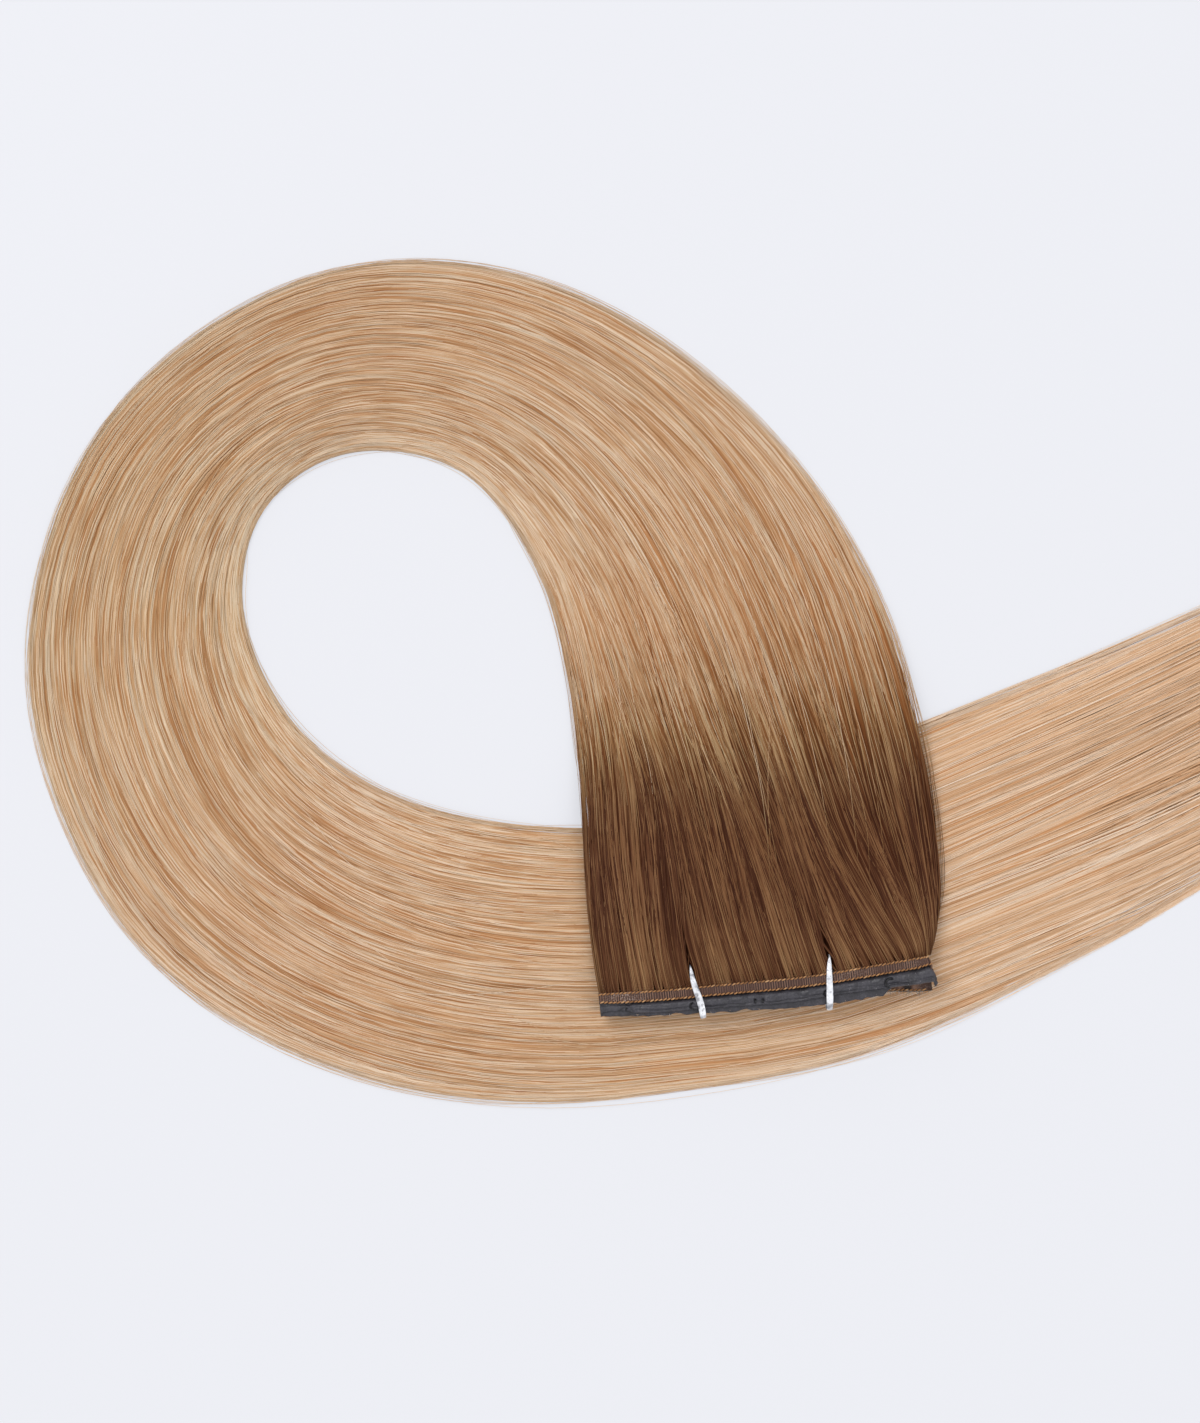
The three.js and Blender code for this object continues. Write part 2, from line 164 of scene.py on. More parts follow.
# The section's outline at each station, by share p of its length from the inner foot over the top to the
# outer foot: sideways place, height and outward normal.
STEP_T, NP = 8, 301
T_GRID = np.linspace(0, LAST, LAST * STEP_T + 1)
P_GRID = np.linspace(0, 1, NP)
TAB = np.zeros((4, len(T_GRID), NP))
ARC = np.zeros(len(T_GRID))
for row, tt in enumerate(T_GRID):
    u = np.sin(np.linspace(-np.pi / 2, np.pi / 2, 1201))
    w = math.hypot(float(OX(tt) - IX(tt)), float(OY(tt) - IY(tt))) / 2
    lat = np.concatenate([[-w], u * w, [w]])
    hgt = np.concatenate([[0], crown(u, tt), [0]])
    run = np.concatenate([[0], np.cumsum(np.hypot(np.diff(lat), np.diff(hgt)))])
    at = P_GRID * run[-1]
    ARC[row] = run[-1]
    a, b = np.interp(at, run, lat), np.interp(at, run, hgt)
    da, db = np.gradient(a), np.gradient(b)
    ln = np.hypot(da, db) + 1e-9
    TAB[:, row] = a, b, -db / ln, da / ln


def look(t, p):
    """The four outline values at stations t and shares p."""
    ft = np.clip(t, 0, LAST) * STEP_T
    fp = np.clip(p, 0, 1) * (NP - 1)
    i = np.minimum(ft.astype(int), len(T_GRID) - 2)
    j = np.minimum(fp.astype(int), NP - 2)
    a, b = ft - i, fp - j
    return (TAB[:, i, j] * (1 - a) * (1 - b) + TAB[:, i + 1, j] * a * (1 - b)
            + TAB[:, i, j + 1] * (1 - a) * b + TAB[:, i + 1, j + 1] * a * b)


INNER_T = (0, 1, 3, 4.5, 6, 17, 19, 21, 23, 26)
INNER_MM = (0.3, 0.9, 1.2, 1.4, 0.8, 0.75, 1.2, 1.6, 1.3, 0.7)


def hank_point(t, p, depth, floor_gap=0.05):
    """A point of the hank under its surface by depth. Shares beyond 0 and 1 lie outside the edge. The inner edge is
    drawn in a little."""
    p = p + np.interp(t, INNER_T, INNER_MM) / 60 * np.clip(1 - p, 0, 1.2)
    lat, hgt, nl, nz = look(t, p)
    over = np.where(p < 0, p, np.where(p > 1, p - 1, 0)) * 60.0
    lat = lat - depth * nl + over
    hgt = np.maximum(hgt - depth * nz, floor_gap)
    ix, iy, ox, oy = IX(t), IY(t), OX(t), OY(t)
    w = np.hypot(ox - ix, oy - iy)
    f = lat / w + 0.5
    x = ix + (ox - ix) * f
    y = iy + (oy - iy) * f - sag_at(f) * (1 - smooth(t / 1.2))
    base = np.maximum(0, BI(t)) * (1 - f) + np.maximum(0, BO(t)) * f
    return x, y, np.maximum(base, 0) + hgt


_tc = np.linspace(0, LAST, 2601)
_xc, _yc = (IX(_tc) + OX(_tc)) / 2, (IY(_tc) + OY(_tc)) / 2
_sc = np.concatenate([[0], np.cumsum(np.hypot(np.diff(_xc), np.diff(_yc)))])


def along_mm(t):
    return np.interp(t, _tc, _sc)


def parting(x, y, tie):
    """Sideways and upward place of a point against the line of the parting above a tie."""
    (hx, hy), _, lean = TIES[tie]
    up = y - hy
    return x - (hx - lean * up - 0.0008 * np.maximum(up, 0) ** 2), up


def part_at_ties(x, y, t):
    """Hair gives way on both sides of each tie, in a narrow gap that closes further up."""
    for tie in TIES:
        off, up = parting(x, y, tie)
        half = np.where(up < 0, 0.66 * smooth((up + 6.0) / 2.5), 0.66 * (1 - smooth(up / 4.6)) + 0.26 * np.exp(-((up - 1.2) / 1.3) ** 2) + 0.16 * (1 - smooth(up / 26)))
        half = half * (t < 3)
        x = x + np.sign(off) * half * np.exp(-np.abs(off) / 1.9)
    return x


# ------------------------------------------------------------------ mesh helpers
def build_mesh(name, verts, quads, tris=None, uv=None, points=None, smooth_faces=True):
    """A mesh object from arrays. uv: one pair per vertex, or per corner. points: float attributes per vertex."""
    me = bpy.data.meshes.new(name)
    verts = np.asarray(verts, np.float32)
    me.vertices.add(len(verts))
    me.vertices.foreach_set("co", (verts * MM).astype(np.float32).ravel())
    parts = [np.asarray(quads, np.int32).reshape(-1, 4)]
    loops = [parts[0].ravel()]
    starts = [np.arange(len(parts[0])) * 4]
    if tris is not None and len(tris):
        tris = np.asarray(tris, np.int32).reshape(-1, 3)
        starts.append(len(loops[0]) + np.arange(len(tris)) * 3)
        loops.append(tris.ravel())
    loops = np.concatenate(loops).astype(np.int32)
    starts = np.concatenate(starts).astype(np.int32)
    me.loops.add(len(loops))
    me.loops.foreach_set("vertex_index", loops)
    me.polygons.add(len(starts))
    me.polygons.foreach_set("loop_start", starts)
    me.update(calc_edges=True)
    me.polygons.foreach_set("use_smooth", np.full(len(starts), smooth_faces))
    if uv is not None:
        uv = np.asarray(uv, np.float32)
        layer = me.uv_layers.new(name="OFBake")
        layer.data.foreach_set("uv", (uv if len(uv) == len(loops) else uv[loops]).astype(np.float32).ravel())
    for key, val in (points or {}).items():
        at = me.attributes.new(key, "FLOAT", "POINT")
        at.data.foreach_set("value", np.asarray(val, np.float32).ravel())
    me.validate()
    me.update()
    ob = bpy.data.objects.new(name, me)
    bpy.context.scene.collection.objects.link(ob)
    return ob


def tubes(name, path, r, points, sides=3, soft=0.0):
    """Closed tubes along n paths of k points, joined in one mesh, with a lane of the map for each.
    points: float attributes, one value per path point. soft: how far the normals lean to the upper side, as light
    that goes through fine hairs evens out their two sides."""
    n, k = path.shape[:2]
    d = np.gradient(path, axis=1)
    d /= np.linalg.norm(d, axis=2, keepdims=True) + 1e-9
    side = np.stack([-d[..., 1], d[..., 0], np.zeros((n, k))], -1)
    side /= np.linalg.norm(side, axis=2, keepdims=True) + 1e-9
    up = np.cross(d, side)
    ring, lean = [], []
    for j in range(sides):
        ang = math.pi / 2 + 2 * math.pi * j / sides
        out = side * math.cos(ang) + up * math.sin(ang)
        ring.append(path + r[..., None] * out)
        lean.append(out * (1 - soft) + up * soft)
    v = np.stack(ring, 2)
    idx = np.arange(n * k * sides).reshape(n, k, sides)
    quads = []
    for j in range(sides):
        m = (j + 1) % sides
        quads.append(np.stack([idx[:, :-1, j], idx[:, :-1, m], idx[:, 1:, m], idx[:, 1:, j]], -1).reshape(-1, 4))
    quads = np.concatenate(quads)
    caps = []
    for j in range(1, sides - 1):
        caps.append(np.stack([idx[:, 0, 0], idx[:, 0, j + 1], idx[:, 0, j]], -1))
        caps.append(np.stack([idx[:, -1, 0], idx[:, -1, j], idx[:, -1, j + 1]], -1))
    caps = np.concatenate(caps)
    u = np.repeat(np.repeat(np.linspace(0.002, 0.998, k)[None], n, 0)[..., None], sides, 2)
    fan = 0.5 + 0.36 * np.sin(2 * np.pi * np.arange(sides) / sides)
    vv = (np.arange(n)[:, None, None] + fan[None, None] + np.zeros((n, k, sides))) / n
    uv = np.stack([u, vv], -1).reshape(-1, 2)
    spread = {key: np.repeat(np.asarray(val)[..., None], sides, 2).ravel() for key, val in points.items()}
    ob = build_mesh(name, v.reshape(-1, 3), quads, caps, uv, spread)
    if soft:
        nor = np.stack(lean, 2).reshape(-1, 3)
        ob.data.normals_split_custom_set_from_vertices((nor / np.linalg.norm(nor, axis=1, keepdims=True)).astype(np.float32))
    return ob


def srgb(r, g, b, k=1.0):
    out = []
    for c in (r, g, b):
        c /= 255
        out.append((c / 12.92 if c <= 0.04045 else ((c + 0.055) / 1.055) ** 2.4) * k)
    return (*out, 1.0)


class Mat:
    """A short hand for node materials."""

    def __init__(self, name):
        self.m = bpy.data.materials.new(name)
        self.m.use_nodes = True
        self.t = self.m.node_tree
        self.bsdf = self.t.nodes["Principled BSDF"]

    def node(self, kind, **kw):
        n = self.t.nodes.new(kind)
        for k, v in kw.items():
            setattr(n, k, v)
        return n

    def link(self, a, b):
        self.t.links.new(a, b)

    def ramp(self, fac, stops, interpolation="LINEAR"):
        r = self.node("ShaderNodeValToRGB")
        r.color_ramp.interpolation = interpolation
        e = r.color_ramp.elements
        e[0].position, e[0].color = stops[0]
        e[1].position, e[1].color = stops[-1]
        for pos, col in stops[1:-1]:
            x = e.new(pos)
            x.color = col
        self.link(fac, r.inputs["Fac"])
        return r.outputs["Color"]

    def grey(self, fac, stops):
        return self.ramp(fac, [(p, (v, v, v, 1)) for p, v in stops])

    def attr(self, name):
        return self.node("ShaderNodeAttribute", attribute_name=name).outputs["Fac"]

    def math(self, op, a, b=None):
        n = self.node("ShaderNodeMath", operation=op)
        for k, v in enumerate((a, b)):
            if v is None:
                continue
            if isinstance(v, (int, float)):
                n.inputs[k].default_value = v
            else:
                self.link(v, n.inputs[k])
        return n.outputs[0]

    def mix(self, a, b, fac, blend="MIX"):
        n = self.node("ShaderNodeMix", data_type="RGBA", blend_type=blend)
        for socket, v in ((n.inputs[6], a), (n.inputs[7], b), (n.inputs[0], fac)):
            if isinstance(v, (int, float, tuple)):
                socket.default_value = v
            else:
                self.link(v, socket)
        return n.outputs[2]

    def place(self):
        return self.node("ShaderNodeTexCoord").outputs["Object"]

    def noise(self, vector, scale, detail=2.0, rough=0.5):
        n = self.node("ShaderNodeTexNoise")
        n.inputs["Scale"].default_value = scale
        n.inputs["Detail"].default_value = detail
        n.inputs["Roughness"].default_value = rough
        self.link(vector, n.inputs["Vector"])
        return n.outputs["Fac"]

    def bump(self, height, distance, strength=1.0):
        n = self.node("ShaderNodeBump")
        n.inputs["Distance"].default_value = distance
        n.inputs["Strength"].default_value = strength
        self.link(height, n.inputs["Height"])
        self.link(n.outputs["Normal"], self.bsdf.inputs["Normal"])


# ------------------------------------------------------------------ hair finish
GAIN = 0.99


def hair_material(name, tint=(1.0, 1.0, 1.0), rough=0.45):
    """Brown roots that run out to honey blonde, over the way along each hair, and a tone for each hair: the lower tones
    darker and warmer, the upper ones pale. The tones hold painted shade on the deeper hairs, set where the hairs are
    made."""
    m = Mat(name)
    stops_mm = (
        (0, (114, 76, 49)), (6, (106, 68, 43)), (14, (93, 56, 34)), (28, (94, 56, 33)), (36, (101, 63, 37)), (43, (118, 78, 46)), (51, (147, 103, 63)),
        (60, (175, 130, 89)), (76, (195, 149, 107)), (108, (202, 160, 120)), (175, (195, 151, 110)), (250, (199, 157, 114)),
        (320, (202, 158, 118)), (395, (206, 162, 120)), (450, (218, 175, 135)), (640, (219, 175, 136)),
    )
    place = m.math("DIVIDE", m.attr("along"), 640.0)
    base = m.ramp(place, [(a / 640, tuple(c * k for c, k in zip(srgb(*rgb, k=GAIN), (*tint, 1.0)))) for a, rgb in stops_mm])
    steps = (0.0, 0.2, 0.4, 0.5, 0.6, 0.8, 1.0)
    power = [math.exp((x - 0.5) * 2.2) for x in steps]
    fair = m.ramp(m.attr("tone"), [(x, (q ** 0.52, q, q ** 1.54, 1)) for x, q in zip(steps, power)])
    brown = m.ramp(m.attr("tone"), [(x, (q ** 0.74, q, q ** 1.06, 1)) for x, q in zip(steps, power)])
    tone = m.mix(brown, fair, m.grey(place, [(30 / 640, 0.0), (62 / 640, 1.0)]))
    m.link(m.mix(base, tone, 1.0, "MULTIPLY"), m.bsdf.inputs["Base Color"])
    m.link(m.grey(m.attr("tone"), [(0.0, rough + 0.12), (1.0, rough - 0.05)]), m.bsdf.inputs["Roughness"])
    m.bsdf.inputs["Specular IOR Level"].default_value = 0.1
    m.bsdf.inputs["IOR"].default_value = 1.5
    return m.m


# ------------------------------------------------------------------ hair
N_ROOT, N_SPREAD, N_STRAIGHT = 830, 630, 100
SHARED_T = np.concatenate([
    np.linspace(0, 1, 6)[:-1], np.linspace(1, 4.5, 10)[:-1], np.linspace(4.5, 17.5, 61)[:-1], np.linspace(17.5, 18.5, 2),
])
TAIL_STEPS = 7


def waves(n, count, low, high):
    """Smooth wandering lines, one row each, about unit size."""
    freq = rng.uniform(low, high, (n, count))
    ph = rng.uniform(0, 2 * np.pi, (n, count))
    return lambda t: sum(np.sin(freq[:, k, None] * t + ph[:, k, None]) for k in range(count)) * math.sqrt(2 / count)


def field(count, across, along):
    """A smooth random value over the hank, about unit size, from its wavelengths across and along in millimetres."""
    ka = 2 * np.pi * 60 / rng.uniform(*across, count)
    ks = 2 * np.pi / rng.uniform(*along, count) * rng.choice((-1.0, 1.0), count)
    ph = rng.uniform(0, 2 * np.pi, count)
    return lambda p, s: sum(np.sin(a * p + b * s + c) for a, b, c in zip(ka, ks, ph)) * math.sqrt(2 / count)


flow_big = field(7, (7, 16), (170, 430))
flow_mid = field(9, (2.4, 5), (90, 260))
flow_fine = field(10, (0.9, 1.9), (50, 140))
lift = field(10, (1.5, 4.5), (70, 210))
shade_big = field(9, (2.6, 9), (110, 340))
shade_fine = field(10, (0.8, 2.2), (60, 180))
ombre_big = field(8, (6, 18), (1e6, 2e6))
ombre_fine = field(8, (1.4, 4), (1e6, 2e6))

# Bunches of hair at the seam, each with its own width, pull and reach.
BUNCHES = 58
bunch_edge = np.concatenate([[0], np.cumsum(rng.uniform(0.55, 1.45, BUNCHES))])
bunch_edge /= bunch_edge[-1]
bunch_mid = (bunch_edge[1:] + bunch_edge[:-1]) / 2
bunch_pull = rng.uniform(0.08, 0.42, BUNCHES)
bunch_reach = rng.uniform(0.10, 0.36, BUNCHES)
bunch_tone = rng.normal(0, 1, BUNCHES)


def edge_soft(p, room):
    """Shares past the edges are drawn in so that they stay close to the hank."""
    p = np.where(p > 1, 1 + room * np.tanh((p - 1) / room), p)
    return np.where(p < 0, room * np.tanh(p / room), p)


WAY_T = np.linspace(0, LAST, 261)


def lean_step(p, t, straight):
    """The change of share over a tenth of a row from station t."""
    inside = np.clip(p, 0, 1)
    lean = np.interp(inside, LEAN_AT, [np.interp(t, LEAN[:, 0], LEAN[:, k + 1]) for k in range(len(LEAN_AT))])
    lean = np.where(straight, lean * smooth((t - 2.2) / 2.0), lean)
    n = min(t + 0.1, LAST)
    ds = mix(np.hypot(IX(n) - IX(t), IY(n) - IY(t)), np.hypot(OX(n) - OX(t), OY(n) - OY(t)), inside)
    return -np.tan(np.radians(lean)) * ds / np.interp(t, T_GRID, ARC)


def carried(p0, start, straight=False):
    """Shares along the way of hairs that pass the start at shares p0 and go with the lean on both sides of it."""
    out = np.empty((len(p0), len(WAY_T)))
    out[:, start] = p0
    for i in range(start, len(WAY_T) - 1):
        out[:, i + 1] = out[:, i] + lean_step(out[:, i], WAY_T[i], straight)
    for i in range(start, 0, -1):
        out[:, i - 1] = out[:, i] - lean_step(out[:, i], WAY_T[i - 1], straight)
    return out


def even(n, lo, hi, spread=3.5):
    return lo + (hi - lo) * np.clip((np.arange(n) + 0.5 + rng.uniform(-spread, spread, n)) / n, 0.002, 0.998)


def strands():
    """Paths, radii and tones of the hairs over the hank's surface."""
    n = N_ROOT + N_SPREAD + N_STRAIGHT
    lower = np.arange(n) >= N_ROOT + N_SPREAD
    way = np.concatenate([
        carried(even(N_ROOT, 0, 1), 0), carried(even(N_SPREAD, 0.0, 1.0), 50), carried(even(N_STRAIGHT, 0.72, 1.0), 0, True),
    ])
    p_root = np.clip(way[:, 0], 0.002, 0.998)
    label = way[:, 60]
    fine = rng.uniform(0, 1, n) < 0.17
    depth_end = np.where(fine, rng.uniform(-0.12, 0.02, n), rng.exponential(0.13, n).clip(0, 0.6) + 0.02)
    depth_root = np.where(lower, depth_end + rng.uniform(0.7, 2.4, n), depth_end)
    # free ends: hairs that leave the hank's edge end soon after, the others at the tip
    t_end = 26.0 - rng.beta(1.3, 2.6, n) * 4.4
    left = (way > 1.012) & (WAY_T[None] > 19.3)
    t_left = np.where(left.any(1), WAY_T[left.argmax(1)], 99)
    t_end = np.maximum(np.minimum(t_end, t_left + rng.uniform(0.2, 1.3, n)), 20.0)
    tail = 18.5 + (t_end[:, None] - 18.5) * np.linspace(0, 1, TAIL_STEPS + 1)[None, 1:]
    t = np.concatenate([np.repeat(SHARED_T[None], n, 0), tail], 1)
    t[:, 0] = -0.028
    s = along_mm(np.maximum(t, 0))
    free_p = np.stack([np.interp(a, WAY_T, b) for a, b in zip(t, way)])
    b = np.clip(np.searchsorted(bunch_edge, p_root, side="right") - 1, 0, BUNCHES - 1)
    p = free_p + ((bunch_mid[b] - p_root) * bunch_pull[b])[:, None] * (1 - smooth(t / bunch_reach[b][:, None]))
    # locks gather and part along the way
    free = smooth((t - 0.15) / 1.8)
    lab = label[:, None] + 0 * t
    p = p + (0.55 * flow_big(lab, s) + 0.13 * flow_mid(lab, s) + 0.062 * flow_fine(lab, s)) / 60 * free
    own = waves(n, 3, 0.25, 1.1)
    size = np.where(rng.uniform(0, 1, n) < 0.16, rng.uniform(0.008, 0.022, n), rng.uniform(0.001, 0.006, n))
    p = p + size[:, None] * own(t) * (0.3 + 0.7 * free)
    stray = np.where(rng.uniform(0, 1, n) < 0.35, rng.uniform(0.004, 0.020, n), 0)[:, None] * waves(n, 2, 0.6, 1.7)(t)
    p = p + stray * smooth((t - 0.2) / 1.2) * (1 - smooth((t - 3.5) / 2.5))
    over = np.maximum(np.maximum(-p, p - 1), 0) * 60 * (1 - smooth((t - 19) / 2))
    room = (0.001 + rng.exponential(0.004, n).clip(0, 0.013))[:, None]
    p = edge_soft(p, room + 0.03 * smooth((t - 19.5) / 3))
    short = 1 - smooth((t - 16.6) / 1.0)
    sunk = (depth_root - depth_end)[:, None] * (1 - smooth((t - 1.6) / 3.0))
    depth = depth_end[:, None] + sunk
    depth = depth + (0.04 * lift(lab, s) + 0.04 * waves(n, 2, 0.5, 1.6)(t) + 0.045 * waves(n, 3, 0.16, 0.42)(s) * short) * free + 0.22 * (1 - smooth(t / 0.06))
    radius = np.where(fine, rng.uniform(0.055, 0.075, n), rng.uniform(0.078, 0.130, n))
    under = np.clip(depth - 0.85 * sunk + radius[:, None], 0, 0.6)
    depth = np.maximum(depth + radius[:, None] + np.minimum(over * 0.3, 1.2), -0.30)
    x, y, z = hank_point(t, p, depth)
    x = part_at_ties(x, y, t)
    r = radius[:, None] * (0.62 + 0.38 * smooth(t / 0.6))
    r = r * (1 - 0.72 * smooth((t - t_end[:, None] + 2.6) / 2.6))
    z = np.maximum(z, r * 0.6 + 0.02)
    al = s + (1.3 * ombre_big(label, 0) + 1.5 * ombre_fine(label, 0) + rng.normal(0, 3.2, n))[:, None]
    al = al - np.where(rng.uniform(0, 1, n) < 0.09, rng.uniform(5, 17, n), 0)[:, None]
    root = 1 - smooth((al - 32) / 42)
    dev = 0.80 * rng.normal(0, 1, n)[:, None] + 0.20 * waves(n, 2, 0.6, 2.2)(t) + 0.55 * waves(n, 3, 0.14, 0.45)(s) * short
    dev = dev + mix(0.03, 0.41, root) * shade_big(lab, s) + 0.20 * shade_fine(lab, s)
    calm = (1 - 0.58 * smooth((s - 390) / 60)) * (0.52 + 0.48 * smooth((s - 6) / 18))
    # deeper hairs are painted darker and warmer: painted shade under the upper hairs
    tone = dev * mix(0.245, 0.72, root) * calm - 0.60 * (under - 0.14) * (1 + 0.4 * root)
    tone = 0.53 + mix(0.29, 0.50, root) * np.tanh(tone / mix(0.29, 0.50, root))
    # dark stretches painted on some fine hairs on top: painted shade of the gaps between locks; the other fine hairs
    # are paler, light-coloured hairs with a painted highlight
    gap = np.maximum(0, np.sin(2 * np.pi * s / rng.uniform(26, 62, n)[:, None] + rng.uniform(0, 6.28, n)[:, None])) ** 3
    deep = fine & (rng.uniform(0, 1, n) < 0.55)
    tone = tone + np.where(deep[:, None], mix(-0.38, -0.32, root) * gap * (0.25 + 0.75 * short), np.where(fine, 0.09, 0)[:, None]) + 0.03 * root * bunch_tone[b][:, None]
    # paler hair towards the two edges: painted light against the shade where the hank meets the floor; also paler over
    # the inner half around station 10
    inner, outer = p.clip(0) * 60, (1 - p).clip(0) * 60
    edge = 0.08 * np.exp(-inner / 3.2) + 0.06 * np.exp(-inner / 14) + 0.08 * np.exp(-outer / 3.2) + 0.06 * np.exp(-outer / 12) - 0.02
    edge = edge + 0.07 * (1 - smooth((p - 0.08) / 0.4)) * np.exp(-((t - 10.2) / 2.2) ** 2)
    tone = tone + edge * smooth((s - 35) / 40) * (1 - 0.75 * smooth((s - 370) / 50)) + 0.08 * np.exp(-outer / 1.5) * smooth((s - 20) / 25)
    high = np.maximum(tone - 0.65, 0) * (1 - root)
    tone = tone - high + 0.14 * np.tanh(high / 0.14)
    # darker hair beside the parting above each tie: painted shade in the parting
    for tie in TIES:
        off, up = parting(x, y, tie)
        tone = tone - 0.42 * np.exp(-((off + 0.5) / 1.4) ** 2) * (t < 3) * smooth((up + 3) / 3) * (1 - smooth(up / 22))
    return np.stack([x, y, z], -1), r, np.clip(tone, 0, 1), al, label


LOOSE_STEPS = 20


def flyaways(n):
    """Single hairs lying across the others."""
    p0 = rng.uniform(0.06, 0.94, n)
    near = rng.uniform(0, 1, n) < 0.24
    steep = ~near & (rng.uniform(0, 1, n) < 0.3)
    t0 = np.where(near, rng.uniform(0.8, 3.0, n), np.where(steep, rng.uniform(12.5, 17.5, n), rng.uniform(3.5, 21.5, n)))
    span = np.where(steep, rng.uniform(0.7, 1.4, n), rng.uniform(1.5, 4.5, n))
    cross = np.where(steep, rng.uniform(0.08, 0.17, n), rng.normal(0, 0.07, n) * np.where(near, 0.5, 1))
    g = np.linspace(0, 1, LOOSE_STEPS + 1)[None]
    t = np.clip(t0[:, None] + span[:, None] * g, 0.3, 25.3)
    p = p0[:, None] + cross[:, None] * (g - 0.5) + 0.012 * np.sin(5 * g + p0[:, None] * 40)
    p = np.clip(p, 0.01, 0.99)
    rise = rng.uniform(0.0, 0.25, n)[:, None] * np.sin(np.pi * g) - 0.12 * (np.abs(2 * g - 1) > 0.94)
    x, y, z = hank_point(t, p, -rise - 0.03)
    r = rng.uniform(0.045, 0.065, n)[:, None] * (1 - 0.6 * np.abs(2 * g - 1) ** 3)
    tone = np.clip(rng.normal(np.where(near, 0.75, 0.68), 0.06, n), 0, 1)[:, None] + 0 * g
    return np.stack([x, y, np.maximum(z, 0.08)], -1), r, tone, along_mm(t) + np.where(near, 20.0, 12.0)[:, None]


def edge_hairs(n):
    """Loose single hairs along the two edges, fewer and fewer further out."""
    outer = np.arange(n) % 2 == 1
    t0 = rng.uniform(0.4, 22.0, n)
    span = rng.uniform(1.6, 5.0, n)
    g = np.linspace(0, 1, LOOSE_STEPS + 1)[None]
    t = np.clip(t0[:, None] + span[:, None] * g, 0.3, 25.6)
    out = (rng.exponential(0.55, n).clip(0, 1.7) - 0.12)[:, None] + 0.16 * waves(n, 2, 2.0, 7.0)(g)
    out = out * np.sin(np.pi * np.clip(g * 0.96 + 0.02, 0, 1)) ** 0.4 - 0.5 * (np.abs(2 * g - 1) ** 6)
    p = np.where(outer[:, None], 1 + out / 60, -out / 60)
    x, y, z = hank_point(t, p, np.full(t.shape, 0.05))
    z = z + rng.uniform(0.03, 0.6, n)[:, None] * smooth(0.6 + waves(n, 2, 2, 6)(g) * 0.4)
    r = rng.uniform(0.036, 0.060, n)[:, None] * (1 - 0.6 * np.abs(2 * g - 1) ** 3)
    tone = np.clip(rng.normal(0.65, 0.06, n), 0, 1)[:, None] + 0 * g
    return np.stack([x, y, np.maximum(z, 0.08)], -1), r, tone, along_mm(t) + 6.0


strand_mat = hair_material("hair_strands")
# the under hair, seen in the gaps between hairs, is tinted darker and warmer: painted shade between the hairs
body_mat = hair_material("hair_under", tint=(0.82, 0.69, 0.56), rough=0.6)

path, rad, tone, al, place = strands()
hair_pieces = []
for name, g in zip(("hair_inner", "hair_mid_inner", "hair_mid_outer", "hair_outer"), np.array_split(np.argsort(place, kind="stable"), 4)):
    ob = tubes(name, path[g], rad[g], {"along": al[g].clip(0, 640), "tone": tone[g]}, soft=0.62)
    ob.data.materials.append(strand_mat)
    hair_pieces.append(ob)
kinds = [flyaways(64), edge_hairs(320)]
path, rad, tone, al = (np.concatenate([k[i] for k in kinds]) for i in range(4))
ob = tubes("hair_loose", path, rad, {"along": al.clip(0, 640), "tone": tone}, soft=0.62)
ob.data.materials.append(strand_mat)
hair_pieces.append(ob)


end_rng = np.random.default_rng(77)


def tip_hairs(n):
    """Hairs that come up from within the tail and fill out its free end."""
    p0 = 0.03 + 0.94 * np.clip((np.arange(n) + 0.5 + end_rng.uniform(-3, 3, n)) / n, 0, 1)
    start = end_rng.uniform(20.6, 22.4, n)
    end = 26.0 - end_rng.beta(1.3, 2.0, n) * 2.8
    g = np.linspace(0, 1, 7)[None]
    t = start[:, None] + (end - start)[:, None] * g
    bend = end_rng.uniform(0.3, 1.0, n)[:, None] * t + end_rng.uniform(0, 6.28, n)[:, None]
    p = p0[:, None] + end_rng.uniform(0.002, 0.014, n)[:, None] * np.sin(bend)
    depth = end_rng.uniform(0.08, 1.1, n)[:, None] * (0.25 + 0.75 * THICK(t) / 4) + 0.8 * (1 - smooth(g / 0.3))
    x, y, z = hank_point(t, p, depth, 0.12)
    r = end_rng.uniform(0.08, 0.125, n)[:, None] * (1 - 0.72 * smooth((t - end[:, None] + 1.5) / 1.5))
    # deeper tip hairs are painted darker: painted shade
    tone = end_rng.normal(0.50, 0.10, n)[:, None] - 0.08 * depth
    return np.stack([x, y, z], -1), r, tone.clip(0.2, 0.75), along_mm(t)


path, rad, tone, al = tip_hairs(320)
ob = tubes("hair_tips", path, rad, {"along": al.clip(0, 640), "tone": tone}, soft=0.62)
ob.data.materials.append(strand_mat)
hair_pieces.append(ob)


